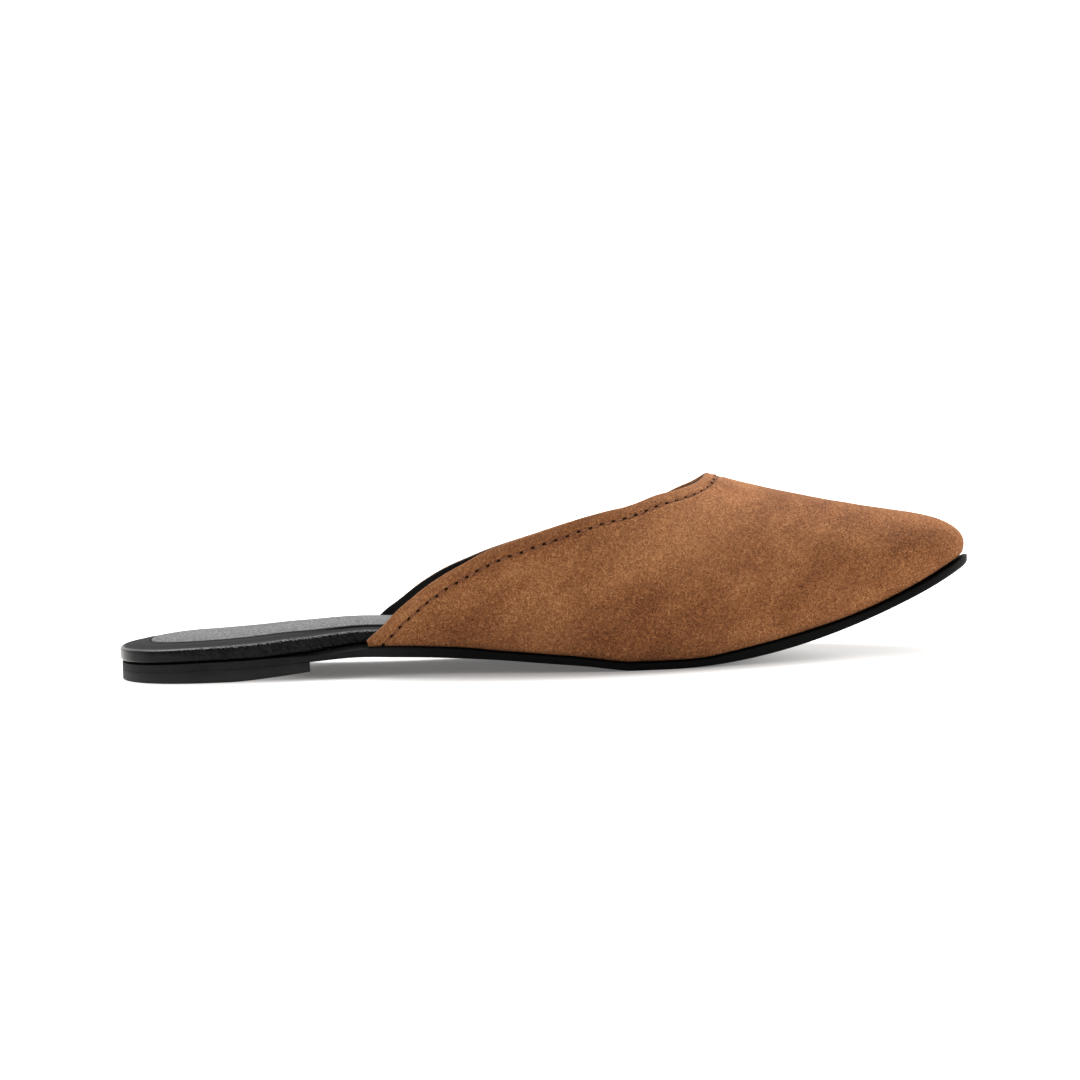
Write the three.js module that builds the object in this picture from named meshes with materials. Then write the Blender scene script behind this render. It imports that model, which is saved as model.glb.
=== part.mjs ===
// A flat, almond-toed mule for the right foot, standing on a level floor, in millimetres.
// X runs from the heel to the toe, Y to the inner side of the foot and Z up.
import * as THREE from "three";
import { mergeVertices } from "three/addons/utils/BufferGeometryUtils.js";

// Driving sizes
const LENGTH = 262; // over all, from the rear of the footbed to the tip of the outsole
const SEAT_WIDTH = 58; // the footbed across the heel
const WAIST_WIDTH = 41; // the footbed across the arch
const BALL_WIDTH = 71; // the footbed across the ball
const TOE_WIDTH = 25; // the footbed where its round tip begins
const TIP_LENGTH = 15; // the round tip, along the shoe
const HEEL_LIFT = 3.4; // the lift under the rear of the outsole
const HEEL_LENGTH = 59; // from the rear to the heel's breast
const HEEL_FLAT = 34; // how far forward the lift stays on the floor
const BREAST_RISE = 2.2; // the lift's clearance under its front edge
const BREAST_HOLLOW = 3; // how far the breast curves back at its middle
const ARCH_RISE = 5.9; // the underside of the outsole above the floor, at its highest in the arch
const TOE_SPRING = 25.6; // the underside of the tip above the floor
const SOLE = 4.1; // outsole thickness at the upper's rear ends
const BALL_REAR = 156; // the flat of the outsole starts here, from the rear
const BALL_FRONT = 170; // and ends here
const SEAT_OVERHANG = 0.6; // the footbed stands this far out over the heel
const LEDGE = 0.6; // the outsole's edge beyond the foot of the upper
const TIP_LEDGE = 1.8; // the same at the tip
const LEDGE_ONSET = 14; // the ledge starts this far behind the heel's breast
const LEDGE_LEAD = 6; // and has its full width this far behind the upper
const LEDGE_DROP = 1.2; // the outsole's rim falls this far from under the footbed to its edge
const RIM = 3.4; // width of that sloping rim
const HEEL_RIM = 0.2; // over the heel the rim falls by this share of LEDGE_DROP
const TIP_RIM = 0.3; // and at the tip by this one
const HEEL_BEVEL = 0.1; // the outsole's lower edge over the heel
const SOLE_BEVEL = 0.5; // along the upper
const TIP_BEVEL = 1.1; // and at the tip
const TOP_BEVEL = 0.7; // its upper edge, as a share of the lower one
const LIFT_BEVEL = 0.4; // the lift's lower edge
const SOCK_BEVEL = 0.35; // the sock's upper edge
const FOOTBED = 5.6; // footbed thickness under the heel
const FOREPART_BED = 3.6; // footbed thickness inside the upper
const WAIST_SWELL = 0.95; // how much thicker the footbed is just behind the heel's breast
const SWELL_LEAD = 5; // the swell's middle lies this far behind the breast
const SWELL_LENGTH = 17; // and it fades over this length both ways
const GROOVE_INSET = 9; // from the footbed's edge to the sock, round the heel
const FORE_INSET = 5.2; // the same, from the arch on
const SOCK = 1.7; // thickness of the padded sock
const SOCK_CROWN = 0.5; // how much higher the sock is along its middle
const WALL = 1.8; // upper leather and lining together
const QUARTER_REAR = 77; // the rear end of the upper, from the rear of the shoe
const QUARTER_END = 1.8; // height of the upper's rear ends
const THROAT = 183; // the peak of the vamp, from the rear
const VAMP_RISE = 52; // the peak of the vamp above the foot of the upper
const RIDGE_SHIFT = 4.2; // the ridge of the vamp lies this far to the inner side
const RIDGE_END = 243; // where the ridge turns down into the toe
const FAN_LENGTH = 16; // the sections turn towards the toe over this last length of the ridge
const FOOT_BAND = 7; // the wall stands upright over this height above its foot
const GAP = 0.3; // clearance between pieces that meet
const FOOT_GAP = 0.42; // and between the upper's foot and the outsole, whose facets differ

const LAST_LENGTH = LENGTH - WALL - GAP - TIP_LEDGE;

// The footbed's outline. at is a share of LENGTH, and outer and inner are shares of the width named in of.
const OUTLINE = [
  { at: 0.0, of: SEAT_WIDTH, outer: 0.49, inner: 0.486 },
  { at: 0.13, of: SEAT_WIDTH, outer: 0.5, inner: 0.496 },
  { at: 0.19, of: SEAT_WIDTH, outer: 0.476, inner: 0.457 },
  { at: 0.24, of: SEAT_WIDTH, outer: 0.434, inner: 0.39 },
  { at: 0.3, of: WAIST_WIDTH, outer: 0.568, inner: 0.452 },
  { at: 0.35, of: WAIST_WIDTH, outer: 0.578, inner: 0.428 },
  { at: 0.41, of: WAIST_WIDTH, outer: 0.654, inner: 0.456 },
  { at: 0.47, of: BALL_WIDTH, outer: 0.438, inner: 0.314 },
  { at: 0.53, of: BALL_WIDTH, outer: 0.494, inner: 0.378 },
  { at: 0.59, of: BALL_WIDTH, outer: 0.524, inner: 0.44 },
  { at: 0.63, of: BALL_WIDTH, outer: 0.521, inner: 0.472 },
  { at: 0.68, of: BALL_WIDTH, outer: 0.494, inner: 0.486 },
  { at: 0.74, of: BALL_WIDTH, outer: 0.441, inner: 0.461 },
  { at: 0.8, of: BALL_WIDTH, outer: 0.373, inner: 0.386 },
  { at: 0.87, of: BALL_WIDTH, outer: 0.283, inner: 0.29 },
  { at: 0.92, of: TOE_WIDTH, outer: 0.615, inner: 0.63 },
  { at: 0.955, of: TOE_WIDTH, outer: 0.495, inner: 0.505 },
  { at: 1.0, of: TOE_WIDTH, outer: 0.345, inner: 0.355 },
].map((row) => ({
  at: row.at,
  outer: row.outer * row.of,
  inner: row.inner * row.of,
}));
const HEEL_ROUNDNESS = 2.3; // 2 is a true half circle, and more is squarer
const TIP_ROUNDNESS = 2;

// The underside of the outsole from the rear to the ball. at is a share of BALL_REAR.
const UNDERSIDE = [
  { at: 0.0, rise: 0.87 * HEEL_LIFT },
  { at: 0.067, rise: 0.97 * HEEL_LIFT },
  { at: 0.16, rise: 1.13 * HEEL_LIFT },
  { at: 0.26, rise: 0.695 * ARCH_RISE },
  { at: 0.37, rise: 0.85 * ARCH_RISE },
  { at: 0.47, rise: 1.0 * ARCH_RISE },
  { at: 0.55, rise: 0.93 * ARCH_RISE },
  { at: 0.64, rise: 0.835 * ARCH_RISE },
  { at: 0.74, rise: 0.695 * ARCH_RISE },
  { at: 0.83, rise: 0.5 * ARCH_RISE },
  { at: 0.92, rise: 0.285 * ARCH_RISE },
  { at: 0.965, rise: 0.125 * ARCH_RISE },
  { at: 1.0, rise: 0.0 },
];
const SPRING_POWER = 1.9; // how the toe spring builds up from the ball to the tip

// The outsole's thickness as a share of SOLE. at is a share of LENGTH. It is thinner over the heel and
// under the ball.
const THICKNESS = [
  { at: 0.0, share: 0.634 },
  { at: 0.206, share: 0.634 },
  { at: 0.33, share: 1.0 },
  { at: 0.395, share: 0.985 },
  { at: 0.45, share: 0.86 },
  { at: 0.52, share: 0.845 },
  { at: 0.565, share: 0.8 },
  { at: 0.685, share: 0.8 },
  { at: 0.71, share: 0.9 },
  { at: 0.755, share: 1.03 },
  { at: 0.8, share: 1.02 },
  { at: 0.85, share: 0.9 },
  { at: 0.9, share: 0.81 },
  { at: 1.0, share: 0.8 },
];

// The upper's sections. at is a share of LENGTH and rise of VAMP_RISE. wall and crown are how upright the
// side starts and how broad the top is, and bulge is how far the side stands out, as a share of BALL_WIDTH.
const SECTIONS = [
  { at: 0.29, rise: 1.34, wall: 0.5, crown: 0.6, bulge: 0.024 },
  { at: 0.42, rise: 1.32, wall: 0.5, crown: 0.6, bulge: 0.048 },
  { at: 0.57, rise: 1.216, wall: 0.5, crown: 0.6, bulge: 0.068 },
  { at: 0.64, rise: 1.128, wall: 0.5, crown: 0.6, bulge: 0.072 },
  { at: 0.702, rise: 0.999, wall: 0.5, crown: 0.6, bulge: 0.072 },
  { at: 0.743, rise: 0.902, wall: 0.5, crown: 0.6, bulge: 0.068 },
  { at: 0.8, rise: 0.77, wall: 0.5, crown: 0.6, bulge: 0.06 },
  { at: 0.856, rise: 0.634, wall: 0.5, crown: 0.61, bulge: 0.05 },
  { at: 0.912, rise: 0.477, wall: 0.5, crown: 0.64, bulge: 0.044 },
  { at: 0.954, rise: 0.344, wall: 0.52, crown: 0.67, bulge: 0.046 },
  { at: 1.0, rise: 0.205, wall: 0.56, crown: 0.71, bulge: 0.056 },
];

// The topline. at runs from the rear end of the upper, 0, to the throat, 1, and the heights above the foot
// of the upper are shares of VAMP_RISE.
const TOPLINE = [
  { at: 0.0, outer: QUARTER_END / VAMP_RISE, inner: QUARTER_END / VAMP_RISE },
  { at: 0.046, outer: 0.113, inner: 0.134 },
  { at: 0.081, outer: 0.187, inner: 0.185 },
  { at: 0.153, outer: 0.309, inner: 0.295 },
  { at: 0.223, outer: 0.407, inner: 0.38 },
  { at: 0.293, outer: 0.492, inner: 0.446 },
  { at: 0.364, outer: 0.578, inner: 0.509 },
  { at: 0.502, outer: 0.692, inner: 0.609 },
  { at: 0.641, outer: 0.807, inner: 0.712 },
  { at: 0.73, outer: 0.871, inner: 0.773 },
  { at: 0.781, outer: 0.897, inner: 0.799 },
  { at: 0.851, outer: 0.94, inner: 0.847 },
  { at: 0.922, outer: 0.961, inner: 0.917 },
  { at: 0.959, outer: 0.975, inner: 0.948 },
  { at: 1.0, outer: 1.0, inner: 1.0 },
];

// How finely the curved surfaces are cut into facets
const OUTLINE_STEPS = 64;
const LIFT_STEPS = 22;
const ACROSS = 4;
const QUARTER_STEPS = 26;
const VAMP_STEPS = 20;
const GIRTH_STEPS = 11;

const COLOURS = {
  upper: { color: 0x8a5636, roughness: 0.85 },
  footbed: { color: 0x1b1b1d, roughness: 0.4 },
  sock: { color: 0x29292b, roughness: 0.5 },
  outsole: { color: 0x151516, roughness: 0.55 },
  heel_lift: { color: 0x19191a, roughness: 0.6 },
};

const mix = (a, b, t) => a + (b - a) * t;
const clamp = (t) => Math.min(1, Math.max(0, t));
const ease = (t) => clamp(t) ** 2 * (3 - 2 * clamp(t));

// A smooth curve through a column of a table, with no overshoot between its rows.
function curve(rows, column) {
  const slope = (i) =>
    (rows[i + 1][column] - rows[i][column]) / (rows[i + 1].at - rows[i].at);
  const last = rows.length - 1;
  const tangent = rows.map((_, i) => {
    if (i === 0) return slope(0);
    if (i === last) return slope(last - 1);
    const [before, after] = [slope(i - 1), slope(i)];
    return before * after <= 0 ? 0 : (2 * before * after) / (before + after);
  });
  return (at) => {
    const x = Math.min(rows[last].at, Math.max(rows[0].at, at));
    let i = 0;
    while (i < last - 1 && x > rows[i + 1].at) i++;
    const span = rows[i + 1].at - rows[i].at;
    const t = (x - rows[i].at) / span;
    const rise = rows[i + 1][column] - rows[i][column];
    const bend = t * (1 - t) * span;
    return (
      rows[i][column] +
      rise * ease(t) +
      bend * ((1 - t) * tangent[i] - t * tangent[i + 1])
    );
  };
}

// Heights along the shoe
const arch = curve(UNDERSIDE, "rise");
function underside(x) {
  if (x <= BALL_REAR) return arch(x / BALL_REAR);
  const beyond = clamp((x - BALL_FRONT) / (LENGTH - BALL_FRONT));
  return TOE_SPRING * beyond ** SPRING_POWER;
}

// 0 over the heel and 1 along the upper, where the outsole stands out as a ledge
const LEDGE_START = HEEL_LENGTH - LEDGE_ONSET;
const LEDGE_FULL = QUARTER_REAR - LEDGE_LEAD;
const forepart = (x) => ease((x - LEDGE_START) / (LEDGE_FULL - LEDGE_START));
// 0 up to the ball and 1 at the tip, where most of the change is
const tipward = (x) => ease((x - BALL_FRONT) / (LENGTH - BALL_FRONT)) ** 3;
const thickness = curve(THICKNESS, "share");
const seatLine = (x) => underside(x) + thickness(x / LENGTH) * SOLE;
const rimDrop = (x) =>
  mix(HEEL_RIM, 1, forepart(x)) * mix(1, TIP_RIM, tipward(x)) * LEDGE_DROP;
const bevel = (x) =>
  mix(mix(HEEL_BEVEL, SOLE_BEVEL, forepart(x)), TIP_BEVEL, tipward(x));
const ledge = (x) => mix(LEDGE, TIP_LEDGE, tipward(x));
const soleMargin = (x) =>
  mix(-SEAT_OVERHANG, WALL + GAP + ledge(x), forepart(x));

// The footbed's outline, side +1 inner and -1 outer, with tau from 0 at the rear to 1 at the tip
const halfWidth = {
  "-1": curve(OUTLINE, "outer"),
  1: curve(OUTLINE, "inner"),
};
const END_CROWDING = 0.88; // how much closer the stations stand at the two round ends
const stationX = (tau) =>
  LAST_LENGTH *
  (tau - (END_CROWDING * Math.sin(2 * Math.PI * tau)) / (2 * Math.PI));

function tauAt(x) {
  let [low, high] = [0, 1];
  for (let i = 0; i < 50; i++) {
    const middle = (low + high) / 2;
    if (stationX(middle) < x) low = middle;
    else high = middle;
  }
  return (low + high) / 2;
}

const roundEnd = (share, power) =>
  Math.max(0, 1 - clamp(share) ** power) ** (1 / power);

function outlinePoint(tau, side) {
  const x = stationX(tau);
  const heelRadius = SEAT_WIDTH / 2;
  const tipStart = LAST_LENGTH - TIP_LENGTH;
  const round =
    roundEnd(1 - x / heelRadius, HEEL_ROUNDNESS) *
    roundEnd((x - tipStart) / TIP_LENGTH, TIP_ROUNDNESS);
  return new THREE.Vector2(x, side * halfWidth[side](x / LENGTH) * round);
}

// The outline moved outwards by a margin, which may be negative
function offsetPoint(tau, side, margin) {
  if (tau <= 0) return new THREE.Vector2(-margin, 0);
  if (tau >= 1) return new THREE.Vector2(LAST_LENGTH + margin, 0);
  const near = 1e-4;
  const tangent = outlinePoint(Math.min(1, tau + near), side).sub(
    outlinePoint(Math.max(0, tau - near), side),
  );
  const outwards = new THREE.Vector2(-tangent.y, tangent.x)
    .multiplyScalar(side)
    .normalize();
  return outlinePoint(tau, side).addScaledVector(outwards, margin);
}

// A closed solid from triangles that share corners by position only
function solidGeometry(corners, faces) {
  const loose = new THREE.BufferGeometry();
  loose.setAttribute(
    "position",
    new THREE.Float32BufferAttribute(
      corners.flatMap((p) => p.toArray()),
      3,
    ),
  );
  loose.setIndex(faces);
  const welded = mergeVertices(loose, 1e-3);
  const index = [];
  for (let i = 0; i < welded.index.count; i += 3) {
    const [a, b, c] = [0, 1, 2].map((k) => welded.index.getX(i + k));
    if (a !== b && b !== c && c !== a) index.push(a, b, c);
  }
  welded.setIndex(index);
  welded.computeVertexNormals();
  return welded;
}

// The outside of a lattice of points: along i, across c and up through the layers of its edge
function latticeGeometry(alongSteps, acrossSteps, layers, point) {
  const corners = [];
  const faces = [];
  const sheet = (rows, columns, at, flip) => {
    const first = corners.length;
    for (let r = 0; r <= rows; r++)
      for (let c = 0; c <= columns; c++) corners.push(at(r, c));
    for (let r = 0; r < rows; r++)
      for (let c = 0; c < columns; c++) {
        const a = first + r * (columns + 1) + c;
        const b = a + columns + 1;
        const quad = [a, b, b + 1, a, b + 1, a + 1];
        faces.push(...(flip ? quad.reverse() : quad));
      }
  };
  sheet(alongSteps, acrossSteps, (i, c) => point(i, c, 0), true);
  sheet(alongSteps, acrossSteps, (i, c) => point(i, c, layers), false);
  sheet(alongSteps, layers, (i, k) => point(i, 0, k), false);
  sheet(alongSteps, layers, (i, k) => point(i, acrossSteps, k), true);
  sheet(acrossSteps, layers, (c, k) => point(0, c, k), true);
  sheet(acrossSteps, layers, (c, k) => point(alongSteps, c, k), false);
  return solidGeometry(corners, faces);
}

// A slab whose edge runs through rings. Each ring gives its margin from the outline and its height at x.
function slabGeometry(rings, crown = 0) {
  return latticeGeometry(OUTLINE_STEPS, ACROSS, rings.length - 1, (i, c, k) => {
    const tau = i / OUTLINE_STEPS;
    const x = stationX(tau);
    const outer = offsetPoint(tau, -1, rings[k].margin(x));
    const inner = offsetPoint(tau, 1, rings[k].margin(x));
    const share = c / ACROSS;
    const place = outer.clone().lerp(inner, share);
    const swell = k === rings.length - 1 ? crown * 4 * share * (1 - share) : 0;
    const breadth = clamp(outer.distanceTo(inner) / WAIST_WIDTH);
    return new THREE.Vector3(
      place.x,
      place.y,
      rings[k].height(place.x) + swell * breadth,
    );
  });
}

function outsole() {
  return slabGeometry([
    { margin: (x) => soleMargin(x) - bevel(x), height: underside },
    { margin: soleMargin, height: (x) => underside(x) + bevel(x) },
    {
      margin: soleMargin,
      height: (x) => seatLine(x) - rimDrop(x) - bevel(x) * TOP_BEVEL,
    },
    {
      margin: (x) => soleMargin(x) - bevel(x) * TOP_BEVEL,
      height: (x) => seatLine(x) - rimDrop(x),
    },
    { margin: (x) => soleMargin(x) - RIM, height: seatLine },
  ]);
}

// The lift follows the outsole above it, rests flat on the floor and rises towards its hollow breast.
const BREAST_POWER = 1.5; // how the underside curves up from the flat to the breast
function heelLift() {
  const rise = (x) =>
    BREAST_RISE *
    clamp((x - HEEL_FLAT) / (HEEL_LENGTH - HEEL_FLAT)) ** BREAST_POWER;
  const layers = [
    { inset: LIFT_BEVEL, height: rise },
    { inset: 0, height: (x) => rise(x) + LIFT_BEVEL },
    { inset: 0, height: (x) => underside(x) - GAP },
  ];
  const breastTau = tauAt(HEEL_LENGTH);
  return latticeGeometry(LIFT_STEPS, ACROSS, layers.length - 1, (i, c, k) => {
    const tau = breastTau * (i / LIFT_STEPS);
    const x = stationX(tau);
    const margin = soleMargin(x) - layers[k].inset;
    const share = c / ACROSS;
    const place = offsetPoint(tau, -1, margin).lerp(
      offsetPoint(tau, 1, margin),
      share,
    );
    const hollow = BREAST_HOLLOW * 4 * share * (1 - share);
    place.x -= hollow * ease((x - HEEL_FLAT) / (HEEL_LENGTH - HEEL_FLAT));
    return new THREE.Vector3(place.x, place.y, layers[k].height(place.x));
  });
}

function bedThickness(x) {
  const thinning = ease((x - HEEL_FLAT) / (THROAT - HEEL_FLAT));
  const fromSwell = x - (HEEL_LENGTH - SWELL_LEAD);
  const swell = Math.exp(-((fromSwell / SWELL_LENGTH) ** 2));
  return mix(FOOTBED, FOREPART_BED, thinning) + WAIST_SWELL * swell;
}
const bedTop = (x) => seatLine(x) + GAP + bedThickness(x);
const sockMargin = (x) => -mix(GROOVE_INSET, FORE_INSET, forepart(x));

// The rolled edge of the footbed, from below: inset in millimetres and share of the footbed's thickness
const ROLL = [
  { inset: 0.9, share: 0 },
  { inset: 0.15, share: 0.14 },
  { inset: 0, share: 0.4 },
  { inset: 0.3, share: 0.62 },
  { inset: 1.2, share: 0.81 },
  { inset: 2.8, share: 0.93 },
];

// The wrapped footbed: a rolled edge, a rim that slopes up to the groove, and a recess for the sock
function footbed() {
  const rolls = ROLL.map(({ inset, share }) => ({
    margin: () => -inset,
    height: (x) => seatLine(x) + GAP + bedThickness(x) * share,
  }));
  return slabGeometry([
    ...rolls,
    { margin: (x) => sockMargin(x) + GAP, height: bedTop },
    { margin: (x) => sockMargin(x) + GAP, height: (x) => bedTop(x) - SOCK },
  ]);
}

function sock() {
  return slabGeometry(
    [
      { margin: sockMargin, height: (x) => bedTop(x) - SOCK + GAP },
      { margin: sockMargin, height: (x) => bedTop(x) - SOCK_BEVEL },
      { margin: (x) => sockMargin(x) - SOCK_BEVEL, height: bedTop },
    ],
    SOCK_CROWN,
  );
}

// The foot of the upper stands on the outsole's sloping rim, which starts inside the edge's bevel.
const rimEdge = (x) => TOP_BEVEL * bevel(x);
const rimSlope = (x) => rimDrop(x) / (RIM - rimEdge(x));
const upperFoot = (x) =>
  seatLine(x) - rimDrop(x) + (ledge(x) - rimEdge(x)) * rimSlope(x) + FOOT_GAP;
const section = Object.fromEntries(
  ["rise", "wall", "crown", "bulge"].map((column) => [
    column,
    curve(SECTIONS, column),
  ]),
);
const ridgeHeight = (x) => upperFoot(x) + section.rise(x / LENGTH) * VAMP_RISE;
const throatHeight = section.rise(THROAT / LENGTH) * VAMP_RISE;
const topline = {
  "-1": curve(TOPLINE, "outer"),
  1: curve(TOPLINE, "inner"),
};

// Ahead of the fan the sections stand across the shoe, and in it they turn until the last lies along it.
const FAN_START = RIDGE_END - FAN_LENGTH;
function ridgeX(x) {
  if (x < FAN_START) return x;
  const share = (x - FAN_START) / (LAST_LENGTH - FAN_START);
  return mix(FAN_START, RIDGE_END, 1 - (1 - share) ** 2);
}

// The four control points of one side of a section, from the foot of the upper to the ridge
function sectionControls(tau, side) {
  const footPlan = offsetPoint(tau, side, WALL + GAP);
  const foot = new THREE.Vector3(
    footPlan.x,
    footPlan.y,
    upperFoot(footPlan.x),
  );
  const at = ridgeX(stationX(tau));
  const fade = 1 - ease((at - THROAT) / (LENGTH - THROAT));
  const ridge = new THREE.Vector3(
    at,
    RIDGE_SHIFT * fade,
    ridgeHeight(at),
  );
  const share = footPlan.x / LENGTH;
  const outwards = offsetPoint(tau, side, WALL + GAP + 1).sub(footPlan);
  const height = ridge.z - foot.z;
  const side1 = foot
    .clone()
    .add(
      new THREE.Vector3(outwards.x, outwards.y, 0).multiplyScalar(
        section.bulge(share) * BALL_WIDTH,
      ),
    );
  side1.z += height * section.wall(share);
  const top = ridge.clone().lerp(foot, section.crown(share));
  const fall = (ridgeHeight(RIDGE_END) - ridgeHeight(FAN_START)) / (RIDGE_END - FAN_START);
  top.z = ridge.z + fall * (top.x - ridge.x);
  return [foot, side1, top, ridge];
}

function sectionPoint([foot, side, top, ridge], s) {
  const r = 1 - s;
  return new THREE.Vector3()
    .addScaledVector(foot, r ** 3)
    .addScaledVector(side, 3 * r * r * s)
    .addScaledVector(top, 3 * r * s * s)
    .addScaledVector(ridge, s ** 3);
}

// How far up its section the topline lies: 1 is the ridge
function topShare(controls, tau, side) {
  const x = stationX(tau);
  const at = (x - QUARTER_REAR) / (THROAT - QUARTER_REAR);
  if (at > 1 - 1e-6) return 1;
  const height = topline[side](at) * throatHeight;
  let [low, high] = [0, 1];
  for (let i = 0; i < 40; i++) {
    const middle = (low + high) / 2;
    if (sectionPoint(controls, middle).z - controls[0].z < height) low = middle;
    else high = middle;
  }
  return (low + high) / 2;
}

function upperStations() {
  const quarter = Array.from({ length: QUARTER_STEPS }, (_, i) => {
    const share = (1 - Math.cos((Math.PI * i) / QUARTER_STEPS)) / 2;
    return tauAt(mix(QUARTER_REAR, THROAT, share));
  });
  const throatTau = tauAt(THROAT);
  const vamp = Array.from({ length: VAMP_STEPS + 1 }, (_, i) =>
    i === VAMP_STEPS ? 1 : mix(throatTau, 1, i / VAMP_STEPS),
  );
  return [...quarter, ...vamp];
}

// The upper's outside, offset inwards by the wall and closed along its edges
function upper() {
  const stations = upperStations();
  const corners = [];
  const faces = [];
  for (const side of [-1, 1]) {
    const first = corners.length;
    stations.forEach((tau, j) => {
      const controls = sectionControls(tau, side);
      const top = j >= QUARTER_STEPS ? 1 : topShare(controls, tau, side);
      for (let k = 0; k <= GIRTH_STEPS; k++)
        corners.push(sectionPoint(controls, (top * k) / GIRTH_STEPS));
    });
    const columns = GIRTH_STEPS + 1;
    for (let j = 0; j + 1 < stations.length; j++)
      for (let k = 0; k < GIRTH_STEPS; k++) {
        const a = first + j * columns + k;
        const quad = [a, a + columns, a + columns + 1, a, a + columns + 1, a + 1];
        faces.push(...(side < 0 ? quad : quad.reverse()));
      }
  }
  return shellGeometry(solidGeometry(corners, faces), WALL);
}

function shellGeometry(skin, wall) {
  const place = skin.getAttribute("position");
  const normal = skin.getAttribute("normal");
  const count = place.count;
  const outside = Array.from({ length: count }, (_, i) =>
    new THREE.Vector3().fromBufferAttribute(place, i),
  );
  const index = Array.from(skin.index.array);
  const edges = new Map();
  for (let i = 0; i < index.length; i += 3)
    for (let k = 0; k < 3; k++) {
      const [a, b] = [index[i + k], index[i + ((k + 1) % 3)]];
      if (edges.has(`${b},${a}`)) edges.delete(`${b},${a}`);
      else edges.set(`${a},${b}`, [a, b]);
    }
  const inside = outside.map((p, i) => {
    const free = clamp((p.z - upperFoot(p.x)) / FOOT_BAND);
    const out = new THREE.Vector3().fromBufferAttribute(normal, i);
    out.setZ(out.z * free).normalize();
    const moved = p.clone().addScaledVector(out, -wall);
    moved.z += rimSlope(p.x) * wall * (1 - free);
    return moved;
  });
  const faces = [...index];
  for (let i = 0; i < index.length; i += 3)
    faces.push(count + index[i], count + index[i + 2], count + index[i + 1]);
  for (const [a, b] of edges.values())
    faces.push(b, a, count + a, b, count + a, count + b);
  return solidGeometry([...outside, ...inside], faces);
}

const shoe = new THREE.Group();
for (const [name, make] of Object.entries({
  upper,
  footbed,
  sock,
  outsole,
  heel_lift: heelLift,
})) {
  const mesh = new THREE.Mesh(
    make(),
    new THREE.MeshStandardMaterial({ ...COLOURS[name], metalness: 0 }),
  );
  mesh.name = name;
  shoe.add(mesh);
}

// The origin is on the floor, under the middle of the shoe's box.
const middle = new THREE.Box3()
  .setFromObject(shoe)
  .getCenter(new THREE.Vector3());
shoe.position.set(-middle.x, -middle.y, 0);

export default shoe;
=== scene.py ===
# A flat, almond-toed mule for the right foot: brushed brown leather over a black lining, a black
# wrapped footbed with a padded sock, and a thin black rubber sole. It stands on a pale studio floor.
import math

import bmesh
import bpy
import numpy as np
from mathutils import Matrix, Vector
from mathutils.bvhtree import BVHTree


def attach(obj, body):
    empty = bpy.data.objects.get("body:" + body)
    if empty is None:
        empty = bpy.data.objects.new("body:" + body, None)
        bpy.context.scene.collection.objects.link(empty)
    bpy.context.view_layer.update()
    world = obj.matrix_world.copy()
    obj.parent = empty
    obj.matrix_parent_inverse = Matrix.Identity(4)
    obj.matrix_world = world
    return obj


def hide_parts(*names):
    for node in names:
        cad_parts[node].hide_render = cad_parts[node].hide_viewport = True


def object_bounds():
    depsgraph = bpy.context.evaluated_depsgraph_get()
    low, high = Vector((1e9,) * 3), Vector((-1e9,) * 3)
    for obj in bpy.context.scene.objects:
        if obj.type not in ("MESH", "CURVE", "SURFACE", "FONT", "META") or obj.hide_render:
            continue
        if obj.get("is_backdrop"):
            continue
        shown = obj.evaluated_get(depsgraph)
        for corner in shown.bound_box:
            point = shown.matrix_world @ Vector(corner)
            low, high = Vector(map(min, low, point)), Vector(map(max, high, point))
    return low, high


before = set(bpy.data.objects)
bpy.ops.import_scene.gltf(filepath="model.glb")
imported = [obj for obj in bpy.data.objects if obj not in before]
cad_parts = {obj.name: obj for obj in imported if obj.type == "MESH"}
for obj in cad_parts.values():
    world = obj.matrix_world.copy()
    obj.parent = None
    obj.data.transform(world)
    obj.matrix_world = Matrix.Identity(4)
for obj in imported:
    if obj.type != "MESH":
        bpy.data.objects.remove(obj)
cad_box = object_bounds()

SEED = 11
BODY = "root"
MM = 0.001

# The shoe's sizes in millimetres: X from the rear to the toe, Y to the inner side, Z up from the floor.
# HEEL_RIM and TIP_RIM are shares of LEDGE_DROP, and TOP_BEVEL is a share of the sole's bevel.
LENGTH = 262
SEAT_WIDTH = 58
WAIST_WIDTH = 41
BALL_WIDTH = 71
TOE_WIDTH = 25
TIP_LENGTH = 15
HEEL_LIFT = 3.4
HEEL_LENGTH = 59
HEEL_FLAT = 34
BREAST_RISE = 2.2
BREAST_HOLLOW = 3
ARCH_RISE = 5.9
TOE_SPRING = 25.6
SOLE = 4.1
BALL_REAR = 156
BALL_FRONT = 170
SEAT_OVERHANG = 0.6
LEDGE = 0.6
TIP_LEDGE = 1.8
LEDGE_ONSET = 14
LEDGE_LEAD = 6
LEDGE_DROP = 1.2
RIM = 3.4
HEEL_RIM = 0.2
TIP_RIM = 0.3
HEEL_BEVEL = 0.1
SOLE_BEVEL = 0.5
TIP_BEVEL = 1.1
TOP_BEVEL = 0.7
LIFT_BEVEL = 0.4
LIFT_JOINT = 0.04
FOOTBED = 5.6
FOREPART_BED = 3.6
WAIST_SWELL = 0.95
SWELL_LEAD = 5
SWELL_LENGTH = 17
GROOVE_INSET = 9
FORE_INSET = 5.2
SOCK = 1.7
SOCK_CROWN = 0.75
WALL = 1.8
LEATHER = 1.1
QUARTER_REAR = 77
QUARTER_END = 1.8
THROAT = 183
VAMP_RISE = 52
RIDGE_SHIFT = 4.2
RIDGE_END = 243
FAN_LENGTH = 16
FOOT_BAND = 7
GAP = 0.3
FOOT_GAP = 0.42
LAST_LENGTH = LENGTH - WALL - GAP - TIP_LEDGE

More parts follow.
